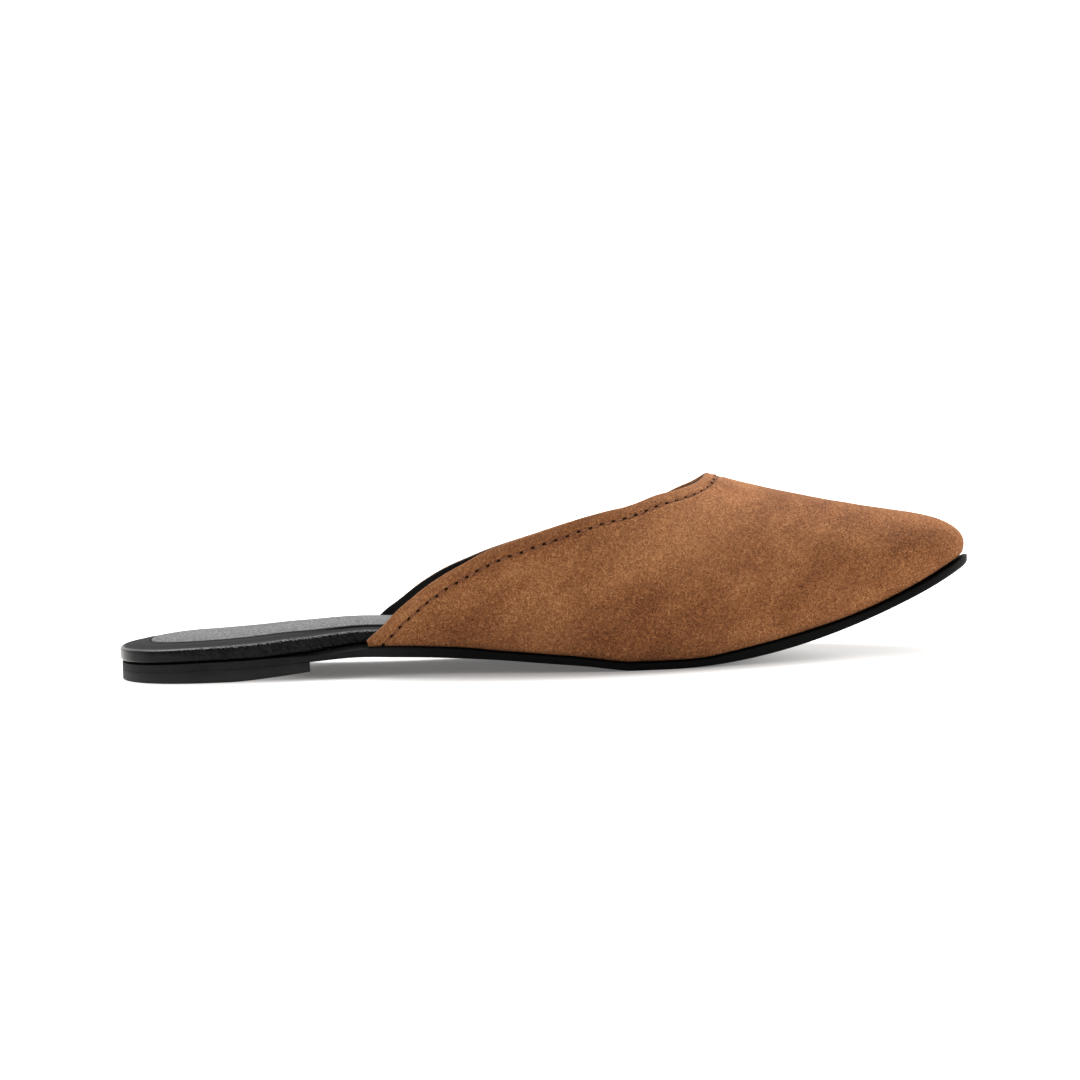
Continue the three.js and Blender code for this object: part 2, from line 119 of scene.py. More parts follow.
# Powers of the rounded ends and of the changes along the shoe
HEEL_ROUNDNESS = 2.3
TIP_ROUNDNESS = 2
SPRING_POWER = 1.9
TIPWARD_POWER = 3
BREAST_POWER = 1.5
TOPLINE_POWER = 5

# How close the stations stand at both ends, and how finely the shapes are made. WELD is in metres.
END_CROWDING = 0.88
TAU_STEPS = 40000
HALVINGS = 45
SLAB_STATIONS = 361
LIFT_STATIONS = 121
BED_COLUMNS = 16
SOCK_COLUMNS = 44
SOLE_COLUMNS = 12
LIFT_COLUMNS = 24
ROUND_STEPS = 4
WELD = 2e-6
AT_THE_END = 1 - 1e-6
NEARLY_ZERO = 1e-12

# The footbed's outline: a share of LENGTH, the width that the next two follow, outer and inner share
OUTLINE = [
    (0.0, SEAT_WIDTH, 0.49, 0.486),
    (0.13, SEAT_WIDTH, 0.5, 0.496),
    (0.19, SEAT_WIDTH, 0.476, 0.457),
    (0.24, SEAT_WIDTH, 0.434, 0.39),
    (0.3, WAIST_WIDTH, 0.568, 0.452),
    (0.35, WAIST_WIDTH, 0.578, 0.428),
    (0.41, WAIST_WIDTH, 0.654, 0.456),
    (0.47, BALL_WIDTH, 0.438, 0.314),
    (0.53, BALL_WIDTH, 0.494, 0.378),
    (0.59, BALL_WIDTH, 0.524, 0.44),
    (0.63, BALL_WIDTH, 0.521, 0.472),
    (0.68, BALL_WIDTH, 0.494, 0.486),
    (0.74, BALL_WIDTH, 0.441, 0.461),
    (0.8, BALL_WIDTH, 0.373, 0.386),
    (0.87, BALL_WIDTH, 0.283, 0.29),
    (0.92, TOE_WIDTH, 0.615, 0.63),
    (0.955, TOE_WIDTH, 0.495, 0.505),
    (1.0, TOE_WIDTH, 0.345, 0.355),
]
# The underside from the rear to the ball: a share of BALL_REAR, and a height
UNDERSIDE = [
    (0.0, 0.87 * HEEL_LIFT),
    (0.067, 0.97 * HEEL_LIFT),
    (0.16, 1.13 * HEEL_LIFT),
    (0.26, 0.695 * ARCH_RISE),
    (0.37, 0.85 * ARCH_RISE),
    (0.47, 1.0 * ARCH_RISE),
    (0.55, 0.93 * ARCH_RISE),
    (0.64, 0.835 * ARCH_RISE),
    (0.74, 0.695 * ARCH_RISE),
    (0.83, 0.5 * ARCH_RISE),
    (0.92, 0.285 * ARCH_RISE),
    (0.965, 0.125 * ARCH_RISE),
    (1.0, 0.0),
]
# The outsole's thickness along LENGTH, in SOLE: thinner over the heel and under the ball
THICKNESS = [
    (0.0, 0.634),
    (0.206, 0.634),
    (0.33, 1.0),
    (0.395, 0.985),
    (0.45, 0.86),
    (0.52, 0.845),
    (0.565, 0.8),
    (0.685, 0.8),
    (0.71, 0.9),
    (0.755, 1.03),
    (0.8, 1.02),
    (0.85, 0.9),
    (0.9, 0.81),
    (1.0, 0.8),
]
# The upper's sections: a share of LENGTH, the ridge's rise in VAMP_RISE, how upright the side starts,
# how broad the top is, and how far the side stands out in BALL_WIDTH
SECTIONS = [
    (0.29, 1.34, 0.5, 0.6, 0.024),
    (0.42, 1.32, 0.5, 0.6, 0.048),
    (0.57, 1.216, 0.5, 0.6, 0.068),
    (0.64, 1.128, 0.5, 0.6, 0.072),
    (0.702, 0.999, 0.5, 0.6, 0.072),
    (0.743, 0.902, 0.5, 0.6, 0.068),
    (0.8, 0.77, 0.5, 0.6, 0.06),
    (0.856, 0.634, 0.5, 0.61, 0.05),
    (0.912, 0.477, 0.5, 0.64, 0.044),
    (0.954, 0.344, 0.52, 0.67, 0.046),
    (1.0, 0.205, 0.56, 0.71, 0.056),
]
# The topline from the rear end, 0, to the throat, 1: the outer and the inner height in VAMP_RISE
TOPLINE = [
    (0.0, QUARTER_END / VAMP_RISE, QUARTER_END / VAMP_RISE),
    (0.046, 0.113, 0.134),
    (0.081, 0.187, 0.185),
    (0.153, 0.309, 0.295),
    (0.223, 0.407, 0.38),
    (0.293, 0.492, 0.446),
    (0.364, 0.578, 0.509),
    (0.502, 0.692, 0.609),
    (0.641, 0.807, 0.712),
    (0.73, 0.871, 0.773),
    (0.781, 0.897, 0.799),
    (0.851, 0.94, 0.847),
    (0.922, 0.961, 0.917),
    (0.959, 0.975, 0.948),
    (1.0, 1.0, 1.0),
]


def mix(a, b, t):
    return a + (b - a) * t


def ease(t):
    t = np.clip(t, 0, 1)
    return t * t * (3 - 2 * t)


def bell(distance, width):
    return np.exp(-((distance / width) ** 2))


def curve(rows, column=1):
    """A smooth curve through a column of a table, with no overshoot between its rows."""
    at = np.array([row[0] for row in rows], float)
    value = np.array([row[column] for row in rows], float)
    slope = np.diff(value) / np.diff(at)
    tangent = np.concatenate([slope[:1], np.zeros(len(at) - 2), slope[-1:]])
    for i in range(1, len(at) - 1):
        if slope[i - 1] * slope[i] > 0:
            tangent[i] = 2 * slope[i - 1] * slope[i] / (slope[i - 1] + slope[i])

    def read(x):
        x = np.clip(x, at[0], at[-1])
        i = np.clip(np.searchsorted(at, x) - 1, 0, len(at) - 2)
        span = at[i + 1] - at[i]
        t = (x - at[i]) / span
        bend = t * (1 - t) * span * ((1 - t) * tangent[i] - t * tangent[i + 1])
        return value[i] + (value[i + 1] - value[i]) * ease(t) + bend

    return read


# Heights along the shoe
arch = curve(UNDERSIDE)


def underside(x):
    beyond = np.clip((x - BALL_FRONT) / (LENGTH - BALL_FRONT), 0, 1)
    return np.where(x <= BALL_REAR, arch(x / BALL_REAR), TOE_SPRING * beyond**SPRING_POWER)


LEDGE_START = HEEL_LENGTH - LEDGE_ONSET
LEDGE_FULL = QUARTER_REAR - LEDGE_LEAD


def forepart(x):
    return ease((x - LEDGE_START) / (LEDGE_FULL - LEDGE_START))


def tipward(x):
    """0 up to the ball and 1 at the tip, where most of the change is."""
    return ease((x - BALL_FRONT) / (LENGTH - BALL_FRONT)) ** TIPWARD_POWER


thickness = curve(THICKNESS)


def seat_line(x):
    return underside(x) + thickness(x / LENGTH) * SOLE


def rim_drop(x):
    return mix(HEEL_RIM, 1, forepart(x)) * mix(1, TIP_RIM, tipward(x)) * LEDGE_DROP


def bevel(x):
    return mix(mix(HEEL_BEVEL, SOLE_BEVEL, forepart(x)), TIP_BEVEL, tipward(x))


def ledge(x):
    return mix(LEDGE, TIP_LEDGE, tipward(x))


def sole_margin(x):
    return mix(-SEAT_OVERHANG, WALL + GAP + ledge(x), forepart(x))


def bed_thickness(x):
    thinning = ease((x - HEEL_FLAT) / (THROAT - HEEL_FLAT))
    swell = bell(x - HEEL_LENGTH + SWELL_LEAD, SWELL_LENGTH)
    return mix(FOOTBED, FOREPART_BED, thinning) + WAIST_SWELL * swell


def bed_top(x):
    return seat_line(x) + GAP + bed_thickness(x)


def groove_inset(x):
    return mix(GROOVE_INSET, FORE_INSET, forepart(x))


# The plan outline
half_width = {
    -1: curve([(at, of * outer) for at, of, outer, _ in OUTLINE]),
    1: curve([(at, of * inner) for at, of, _, inner in OUTLINE]),
}


def station_x(tau):
    return LAST_LENGTH * (tau - END_CROWDING * np.sin(2 * np.pi * tau) / (2 * np.pi))


TAU_TABLE = np.linspace(0, 1, TAU_STEPS + 1)


def tau_at(x):
    return np.interp(x, station_x(TAU_TABLE), TAU_TABLE)


def round_end(share, power):
    return np.maximum(0, 1 - np.clip(share, 0, 1) ** power) ** (1 / power)


def outline(tau, side):
    x = station_x(tau)
    heel = round_end(1 - x / (SEAT_WIDTH / 2), HEEL_ROUNDNESS)
    tip = round_end((x - LAST_LENGTH + TIP_LENGTH) / TIP_LENGTH, TIP_ROUNDNESS)
    return np.stack([x, side * half_width[side](x / LENGTH) * heel * tip], -1)


def offset(tau, side, margin):
    """The outline moved outwards by a margin, which may be negative."""
    near = 1e-4
    tangent = outline(np.minimum(1, tau + near), side) - outline(np.maximum(0, tau - near), side)
    outwards = np.stack([-tangent[..., 1], tangent[..., 0]], -1) * side
    outwards /= np.linalg.norm(outwards, axis=-1, keepdims=True)
    outwards = np.where((tau <= 0)[..., None], [-1.0, 0.0], outwards)
    outwards = np.where((tau >= 1)[..., None], [1.0, 0.0], outwards)
    return outline(tau, side) + outwards * np.asarray(margin)[..., None]


# Meshes
class Builder:
    """Collects grids of points as quads and makes one object of them, in metres."""

    def __init__(self):
        self.points, self.faces, self.count = [], [], 0

    def block(self, points):
        points = np.asarray(points, float).reshape(-1, 3)
        first = self.count
        self.points.append(points)
        self.count += len(points)
        return first

    def grid(self, points, wrap=False):
        rows, columns = points.shape[:2]
        first = self.block(points)
        r, c = np.meshgrid(
            np.arange(rows - 1), np.arange(columns if wrap else columns - 1), indexing="ij"
        )
        c2 = (c + 1) % columns
        quad = np.stack([r * columns + c, (r + 1) * columns + c, (r + 1) * columns + c2,
                         r * columns + c2], -1).reshape(-1, 4)
        self.faces += (quad + first).tolist()
        return first

    def make(self, name):
        points = to_row(np.concatenate(self.points))
        mesh = bpy.data.meshes.new(name)
        mesh.from_pydata(points.tolist(), [], self.faces)
        bm = bmesh.new()
        bm.from_mesh(mesh)
        bmesh.ops.remove_doubles(bm, verts=bm.verts, dist=WELD)
        bmesh.ops.dissolve_degenerate(bm, edges=bm.edges, dist=WELD / 4)
        bmesh.ops.recalc_face_normals(bm, faces=bm.faces)
        bm.to_mesh(mesh)
        bm.free()
        mesh.polygons.foreach_set("use_smooth", [True] * len(mesh.polygons))
        piece = bpy.data.objects.new(name, mesh)
        bpy.context.scene.collection.objects.link(piece)
        return piece


def finish_piece(piece, material, slot, *nodes):
    piece.data.materials.clear()
    piece.data.materials.append(material)
    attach(piece, BODY)
    if nodes:
        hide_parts(*nodes)
    return piece


def slab(name, columns, rings, top=None):
    """A piece whose edge runs through rings of (margin, height), each a function of x and side."""
    builder = Builder()
    taus = np.linspace(0, 1, SLAB_STATIONS)
    sides = {}
    for side in (-1, 1):
        rows = []
        for margin, height in rings:
            place = offset(taus, side, margin(station_x(taus), side))
            rows.append(np.concatenate([place, height(place[:, 0], side)[:, None]], 1))
        sides[side] = np.stack(rows)
        builder.grid(sides[side])
    share = np.linspace(0, 1, columns + 1)[None, :, None]
    for ring, shape in ((0, None), (-1, top)):
        low, high = sides[-1][ring][:, None], sides[1][ring][:, None]
        cap = low * (1 - share) + high * share
        if shape:
            cap = shape(cap, share[..., 0], np.linalg.norm(high - low, axis=-1))
        builder.grid(cap)
    return builder.make(name)


def along(function):
    return lambda x, side: function(x)


def quarter_turn(steps):
    return np.linspace(0, np.pi / 2, steps + 1)


# The solids give where the shoe's own axis lies: the footbed's rear end is on it.
rear_end = min(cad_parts["footbed"].data.vertices, key=lambda vertex: vertex.co.x)
ORIGIN = np.array([LENGTH / 2, -rear_end.co.y / MM, 0])


def to_row(points):
    return (np.asarray(points) - ORIGIN) * MM


# The upper's surface
FAN_START = RIDGE_END - FAN_LENGTH
ridge_rise, side_wall, crown, bulge = (curve(SECTIONS, column) for column in range(1, 5))
topline = {-1: curve(TOPLINE, 1), 1: curve(TOPLINE, 2)}


def rim_edge(x):
    return TOP_BEVEL * bevel(x)


def rim_slope(x):
    return rim_drop(x) / (RIM - rim_edge(x))


def upper_foot(x):
    return seat_line(x) - rim_drop(x) + (ledge(x) - rim_edge(x)) * rim_slope(x) + FOOT_GAP


def ridge_x(x):
    share = (x - FAN_START) / (LAST_LENGTH - FAN_START)
    fan = mix(FAN_START, RIDGE_END, 1 - (1 - share) ** 2)
    return np.where(x < FAN_START, x, fan)


def ridge_height(x):
    return upper_foot(x) + ridge_rise(x / LENGTH) * VAMP_RISE


def section_controls(tau, side):
    """The control points of one side of each section, from the foot of the upper to the ridge."""
    plan = offset(tau, side, np.full_like(tau, WALL + GAP))
    foot = np.concatenate([plan, upper_foot(plan[:, 0])[:, None]], 1)
    at = ridge_x(station_x(tau))
    fade = 1 - ease((at - THROAT) / (LENGTH - THROAT))
    ridge = np.stack([at, RIDGE_SHIFT * fade, ridge_height(at)], -1)
    share = plan[:, 0] / LENGTH
    outwards = offset(tau, side, np.full_like(tau, WALL + GAP + 1)) - plan
    height = ridge[:, 2] - foot[:, 2]
    low = foot.copy()
    low[:, :2] += outwards * (bulge(share) * BALL_WIDTH)[:, None]
    low[:, 2] += height * side_wall(share)
    high = mix(ridge, foot, crown(share)[:, None])
    fall = (ridge_height(RIDGE_END) - ridge_height(FAN_START)) / (RIDGE_END - FAN_START)
    high[:, 2] = ridge[:, 2] + fall * (high[:, 0] - ridge[:, 0])
    return foot, low, high, ridge


def section_point(controls, s):
    """Points of each section at the shares s, an array of sections by points."""
    foot, low, high, ridge = (c[:, None, :] for c in controls)
    s = s[..., None]
    r = 1 - s
    return foot * r**3 + low * 3 * r * r * s + high * 3 * r * s * s + ridge * s**3


def top_share(controls, tau, side, rear, throat):
    """How far up its section the topline lies: 1 is the ridge."""
    at = (station_x(tau) - rear) / (throat - rear)
    height = topline[side](at) * ridge_rise(THROAT / LENGTH) * VAMP_RISE
    low, high = np.zeros_like(tau), np.ones_like(tau)
    for _ in range(HALVINGS):
        middle = (low + high) / 2
        z = section_point(controls, middle[:, None])[:, 0, 2] - controls[0][:, 2]
        low = np.where(z < height, middle, low)
        high = np.where(z < height, high, middle)
    return np.where(at > AT_THE_END, 1.0, (low + high) / 2)


# The upper's leather and lining
SIDE_ROWS = 64
QUARTER_ROWS = 104
VAMP_ROWS = 96
EDGE_STEPS = 8
EDGE_RADIUS = LEATHER / 2
# The topline's fold, the seam's channel, the tuck at the foot, and the band with no other relief
FOLD_WIDTH = 5.4
FOLD_RISE = 0.16
FOLD_LEAD = 0.8
FOLD_FADE = 1.4
SEAM_INSET = 3.6
SEAM_WIDTH = 0.75
SEAM_DEPTH = 0.3
TUCK = 0.5
TUCK_HEIGHT = 0.9
CALM_BAND = 6
CREASE_WANDER = 0.35
CREASE_WAVE = 5.1
WAVES = 9
WAVE_SPREAD = (0.7, 1.6)
# The lining stands a little over the leather's edge, and just clear of its inner face.
LINING_DROP = -0.22
LINING_GAP = 0.04
# How much of a drop the rear end of the topline follows, and the least share of a section that is left
REAR_DROP = 0.5
LEAST_TOP = 0.004
RISE_STEP = 0.02
SIDE_CROWDING = 0.62
RIM_STEP = 0.4
RIM_CHUNK = 100

# Unevenness of the leather: wave length and height
LONG_RIPPLE = (24, 0.07)
SHORT_RIPPLE = (9, 0.03)

# Soft forms of the leather: x, height over the foot, length, height of the form, depth (- is a hollow),
# lean of its long axis in degrees, side
SOFT_FORMS = [
    (226, 11, 13, 5.0, -0.55, -32, -1),
    (243, 13, 10, 4.0, 0.25, -20, -1),
    (206, 22, 20, 7.0, -0.22, -24, -1),
    (190, 34, 16, 5.0, 0.18, -30, -1),
    (150, 12, 26, 6.0, 0.20, -8, -1),
    (128, 25, 20, 5.0, -0.18, 18, -1),
    (104, 10, 15, 3.4, -0.20, 30, -1),
    (168, 27, 18, 6.0, -0.16, 12, -1),
    (225, 10, 13, 5.0, -0.50, -30, 1),
    (198, 24, 20, 6.0, -0.20, -20, 1),
    (150, 14, 24, 6.0, 0.20, 6, 1),
    (112, 12, 16, 4.0, -0.22, 24, 1),
]
# Thin creases just over the sole: x, height over the foot, length, width, depth
FOOT_CREASES = [
    (97, 2.7, 15, 0.55, -0.16),
    (128, 3.1, 18, 0.6, -0.13),
    (160, 2.9, 16, 0.6, -0.12),
    (196, 2.8, 14, 0.5, -0.12),
    (232, 2.6, 12, 0.5, -0.12),
]


def crowd(count, strength):
    """Shares from 0 to 1 that stand closer together at both ends."""
    u = np.linspace(0, 1, count)
    return u - strength * np.sin(2 * np.pi * u) / (2 * np.pi)


def upper_taus(rear, throat):
    turn = (1 - np.cos(np.pi * np.arange(QUARTER_ROWS) / QUARTER_ROWS)) / 2
    quarter = tau_at(mix(rear, throat, turn))
    vamp = mix(tau_at(throat), 1, np.arange(VAMP_ROWS + 1) / VAMP_ROWS)
    vamp[-1] = 1
    return np.concatenate([quarter, vamp])


def unit(vectors):
    return vectors / np.maximum(np.linalg.norm(vectors, axis=-1, keepdims=True), NEARLY_ZERO)


def upper_skin(drop=0):
    """Both sides of the upper's surface as grids of stations by points, and their outward normals.
    The topline lies lower by drop."""
    rear, throat = QUARTER_REAR + drop * REAR_DROP, THROAT + drop
    taus = upper_taus(rear, throat)
    skin, normal = {}, {}
    for side in (-1, 1):
        controls = section_controls(taus, side)
        top = top_share(controls, taus, side, rear, throat)
        top[QUARTER_ROWS:] = 1
        quarter = np.arange(QUARTER_ROWS) / QUARTER_ROWS
        below = section_point(controls, top[:, None] - RISE_STEP)
        rise = section_point(controls, top[:, None]) - below
        rise = np.linalg.norm(rise[:, 0], axis=-1)[:QUARTER_ROWS]
        lower = (EDGE_RADIUS + drop) * (1 - quarter**TOPLINE_POWER) * RISE_STEP / rise
        top[:QUARTER_ROWS] = np.maximum(top[:QUARTER_ROWS] - lower, LEAST_TOP)
        grid = section_point(controls, top[:, None] * crowd(SIDE_ROWS + 1, SIDE_CROWDING)[None])
        skin[side] = grid
        normal[side] = -side * unit(np.cross(np.gradient(grid, axis=0), np.gradient(grid, axis=1)))
    ridge = slice(QUARTER_ROWS, None)
    shared = unit(normal[-1][ridge, -1] + normal[1][ridge, -1])
    tip = unit(normal[-1][-1] + normal[1][-1])
    for side in (-1, 1):
        normal[side][ridge, -1] = shared
        normal[side][-1] = tip
    return skin, normal


def free_height(points):
    return np.clip((points[..., 2] - upper_foot(points[..., 0])) / FOOT_BAND, 0, 1)


def inwards(points, normals, depth):
    """The skin moved inwards. Near its foot it moves level, and follows the sole's rim."""
    free = free_height(points)
    level = normals.copy()
    level[..., 2] *= free
    moved = points - unit(level) * depth
    moved[..., 2] += rim_slope(points[..., 0]) * depth * (1 - free)
    return moved


def rim_loop(grids):
    """The topline from the outer side's rear end, round the throat, to the inner side's rear end."""
    outer = grids[-1][: QUARTER_ROWS + 1, -1]
    inner = grids[1][:QUARTER_ROWS, -1][::-1]
    return np.concatenate([outer, inner])


def topline_distance(points, grids):
    """How far each point is from the topline of both sides' grids."""
    line = resample(rim_loop(grids), RIM_STEP)
    flat = points.reshape(-1, 3)
    best = np.full(len(flat), np.inf)
    for start in range(0, len(line), RIM_CHUNK):
        part = line[start : start + RIM_CHUNK]
        best = np.minimum(best, ((flat[:, None] - part[None]) ** 2).sum(-1).min(1))
    return np.sqrt(best).reshape(points.shape[:-1])


def resample(line, step):
    length = np.concatenate([[0], np.cumsum(np.linalg.norm(np.diff(line, axis=0), axis=1))])
    at = np.arange(0, length[-1], step)
    return np.stack([np.interp(at, length, line[:, i]) for i in range(3)], -1)


def ripple(points, seed, wave, height):
    """A gentle seeded unevenness: a sum of plane waves about wave mm long."""
    own = np.random.default_rng(seed)
    total = np.zeros(points.shape[:-1])
    for _ in range(WAVES):
        direction = unit(own.normal(size=3))
        length = wave * own.uniform(*WAVE_SPREAD)
        phase = own.uniform(0, 2 * np.pi)
        total += np.sin(points @ direction * 2 * np.pi / length + phase)
    return total * height / math.sqrt(WAVES)


def leather_relief(points, side, to_topline):
    x = points[..., 0]
    h = points[..., 2] - upper_foot(x)
    relief = ripple(points, SEED, *LONG_RIPPLE) + ripple(points, SEED + 1, *SHORT_RIPPLE)
    for at, level, length, width, depth, lean, form_side in SOFT_FORMS:
        if form_side != side:
            continue
        c, s = math.cos(math.radians(lean)), math.sin(math.radians(lean))
        along_form = (x - at) * c + (h - level) * s
        across_form = (h - level) * c - (x - at) * s
        relief += depth * bell(along_form, length) * bell(across_form, width)
    for at, level, length, width, depth in FOOT_CREASES:
        wander = CREASE_WANDER * np.sin((x - at) / CREASE_WAVE + at)
        relief += depth * bell(x - at, length) * bell(h - level - wander, width)
    relief *= ease(to_topline / CALM_BAND)
    relief += FOLD_RISE * (1 - ease((to_topline - FOLD_WIDTH + FOLD_LEAD) / FOLD_FADE))
    relief -= SEAM_DEPTH * bell(to_topline - SEAM_INSET, SEAM_WIDTH)
    relief -= TUCK * (1 - ease(h / TUCK_HEIGHT)) ** 2
    return relief


def close_shell(builder, outer, inner):
    """Joins the outer and inner grids along the topline with a round edge, and closes foot and ends."""
    for side in (-1, 1):
        builder.grid(outer[side])
        builder.grid(inner[side])
        builder.grid(np.stack([outer[side][:, 0], inner[side][:, 0]], 1))
        builder.grid(np.stack([outer[side][0], inner[side][0]], 1))
    out, into = rim_loop(outer), rim_loop(inner)
    middle, reach = (out + into) / 2, (out - into) / 2
    line = unit(np.gradient(middle, axis=0))
    away = unit(np.cross(unit(reach), line)) * np.linalg.norm(reach, axis=-1, keepdims=True)
    turn = np.linspace(0, np.pi, EDGE_STEPS + 1)[None, :, None]
    edge = middle[:, None] + reach[:, None] * np.cos(turn) + away[:, None] * np.sin(turn)
    builder.grid(edge)
    for end in (edge[0], edge[-1]):
        first = builder.block(end)
        builder.faces.append(list(range(first, first + len(end))))


def make_upper():
    skin, normal = upper_skin()
    outer, inner = {}, {}
    for side in (-1, 1):
        relief = leather_relief(skin[side], side, topline_distance(skin[side], skin))
        outer[side] = skin[side] + normal[side] * relief[..., None]
        inner[side] = inwards(skin[side], normal[side], LEATHER)
    ridge = (outer[-1][QUARTER_ROWS:, -1] + outer[1][QUARTER_ROWS:, -1]) / 2
    tip = (outer[-1][-1] + outer[1][-1]) / 2
    for side in (-1, 1):
        outer[side][QUARTER_ROWS:, -1] = ridge
        outer[side][-1] = tip
    builder = Builder()
    close_shell(builder, outer, inner)
    return builder.make("upper_leather"), outer


def make_lining():
    skin, normal = upper_skin(LINING_DROP)
    outer = {side: inwards(skin[side], normal[side], LEATHER + LINING_GAP) for side in (-1, 1)}
    inner = {side: inwards(skin[side], normal[side], WALL) for side in (-1, 1)}
    builder = Builder()
    close_shell(builder, outer, inner)
    return builder.make("lining")


# The topline's stitches
SEAM_START = 4.2
SEAM_SMOOTHING = 12
STITCH = 3.7
STITCH_GAP = 1.1
THREAD = 0.21
THREAD_RISE = 0.14
THREAD_SLANT = 0.16
THREAD_SINK = 0.3
THREAD_TIP = 0.55
THREAD_SIDES = 8
THREAD_RINGS = 11
LONGEST_STITCH = 1.5 * STITCH
BOW_POWER = 0.5
SINK_POWER = 6
GIRTH_POWER = 0.4
HOLE_RADIUS = 0.58
FINE_RIM_STEP = 0.25

# A needle hole's dark plug, painted shade for the hole's inside. Its rings: height over the leather,
# share of HOLE_RADIUS
HOLE_RINGS = [
    (0.05, 1.0),
    (-0.25, 0.4),
]
# A direction off the axes, from which each hole's rings are laid out
ASIDE = [0.31, 0.2, 0.93]


def seam_points(outer):
    """Where the needle goes in, at one distance from the topline, and the leather's normals there."""
    found = []
    for side in (-1, 1):
        grid = outer[side][:, ::-1]
        distance = topline_distance(grid, outer)
        for row, away in zip(grid, distance):
            beyond = np.nonzero(away > SEAM_INSET)[0]
            if len(beyond) and 0 < beyond[0]:
                i = beyond[0]
                share = (SEAM_INSET - away[i - 1]) / (away[i] - away[i - 1])
                found.append(mix(row[i - 1], row[i], share))
    found = np.array(found)
    rim = resample(rim_loop(outer), FINE_RIM_STEP)
    nearest = ((found[:, None] - rim[None, :, :]) ** 2).sum(-1).argmin(1)
    line = found[np.argsort(nearest, kind="stable")]
    for _ in range(SEAM_SMOOTHING):
        line[1:-1] = (line[:-2] + 2 * line[1:-1] + line[2:]) / 4
    line = line[line[:, 0] > QUARTER_REAR + SEAM_START]
    tree = BVHTree.FromPolygons(*skin_polygons(outer))
    hits = [tree.find_nearest(Vector(p)) for p in resample(line, STITCH)]
    return np.array([hit[0] for hit in hits]), np.array([hit[1] for hit in hits])


def skin_polygons(outer):
    points, faces = [], []
    for side in (-1, 1):
        rows, columns = outer[side].shape[:2]
        first = len(points)
        points += [Vector(p) for p in outer[side].reshape(-1, 3)]
        for r in range(rows - 1):
            for c in range(columns - 1):
                a = first + r * columns + c
                quad = (a, a + columns, a + columns + 1, a + 1)
                faces.append(quad if side < 0 else quad[::-1])
    return points, faces


def circle(across, up):
    """Unit circles of points in the planes of pairs of directions."""
    turn = np.linspace(0, 2 * np.pi, THREAD_SIDES + 1)[:-1, None]
    return np.cos(turn) * across[..., None, :] + np.sin(turn) * up[..., None, :]


def tube(builder, rings):
    """A tube through rings of points, closed at both ends."""
    first = builder.grid(rings, wrap=True)
    count, sides = rings.shape[:2]
    for start in (first, first + (count - 1) * sides):
        builder.faces.append(list(range(start, start + sides)))


def make_stitches(places, normals):
    builder = Builder()
    for i in range(len(places) - 1):
        start, end = places[i], places[i + 1]
        if np.linalg.norm(end - start) > LONGEST_STITCH:
            continue
        up = unit(normals[i] + normals[i + 1])
        across = np.cross(up, unit(end - start))
        share = STITCH_GAP / 2 / np.linalg.norm(end - start)
        t = np.linspace(share, 1 - share, THREAD_RINGS)
        arc = np.sin(np.pi * (t - share) / (1 - 2 * share))
        lift = THREAD_RISE * arc**BOW_POWER - THREAD_SINK * (1 - arc) ** SINK_POWER
        spine = start + np.outer(t, end - start) + np.outer(lift, up)
        spine += np.outer(THREAD_SLANT * (2 * t - 1), across)
        girth = THREAD * mix(THREAD_TIP, 1, arc**GIRTH_POWER)
        tangent = unit(np.gradient(spine, axis=0))
        side = unit(np.cross(up, tangent))
        top = unit(np.cross(tangent, side))
        tube(builder, spine[:, None] + girth[:, None, None] * circle(side, top))
    return builder.make("topline_stitches")


# Dark plugs that paint the shade inside each needle hole
def make_hole_shades(places, normals):
    builder = Builder()
    for place, normal in zip(places, normals):
        side = unit(np.cross(normal, ASIDE))
        round_hole = HOLE_RADIUS * circle(side, np.cross(normal, side))
        rings = [place + normal * height + share * round_hole for height, share in HOLE_RINGS]
        tube(builder, np.stack(rings))
    return builder.make("needle_hole_shades")


# The wrapped footbed, its sock, the outsole and the heel lift

# The wrap's edge: share of the way up it, inset from the outline, share of the bed's thickness
WRAP_PROFILE = [
    (0.0, 1.3, 0.0),
    (0.07, 0.5, 0.04),
    (0.16, 0.1, 0.15),
    (0.3, 0.0, 0.38),
    (0.44, 0.06, 0.6),
    (0.5, 0.35, 0.675),
    (0.57, 1.1, 0.722),
    (0.7, 3.0, 0.782),
    (0.86, 4.9, 0.838),
]
WRAP_STEPS = 34
# The wrap's pleats: x at half height, depth, width and lean
PLEATS = [
    (6, 0.06, 1.3, 0.5),
    (12, 0.08, 1.4, 0.8),
    (19, 0.10, 1.3, 1.2),
    (24, 0.16, 1.0, 1.6),
    (29, 0.12, 0.9, 1.4),
    (34, 0.22, 1.1, 2.0),
    (37.5, 0.34, 0.8, 2.4),
    (40, 0.30, 0.7, 2.6),
    (42.6, 0.36, 0.8, 2.4),
    (45.5, 0.26, 0.7, 2.2),
    (48, 0.32, 0.9, 2.6),
    (51.5, 0.24, 0.8, 2.4),
    (55, 0.30, 1.0, 2.8),
    (59, 0.18, 0.9, 2.2),
    (62.5, 0.26, 1.1, 2.6),
    (67, 0.16, 1.0, 2.0),
    (71, 0.22, 1.2, 2.4),
    (76, 0.14, 1.2, 2.0),
]
# Fine pleats between them: height, radians per mm, radians up the edge, radians between the two sides
FINE_PLEATS = [
    (0.05, 3.1, 9, 1),
    (0.04, 5.3, -14, 0),
]
FINE_START = 10
FINE_LEAD = 20
# The inner side's pleats stand further forward; all are deepest at this share of the way up the edge.
INNER_SHIFT = 1.7
PLEATS_LEVEL = 0.42
PLEATS_SPREAD = 0.34
PLEATS_DROP = 0.3
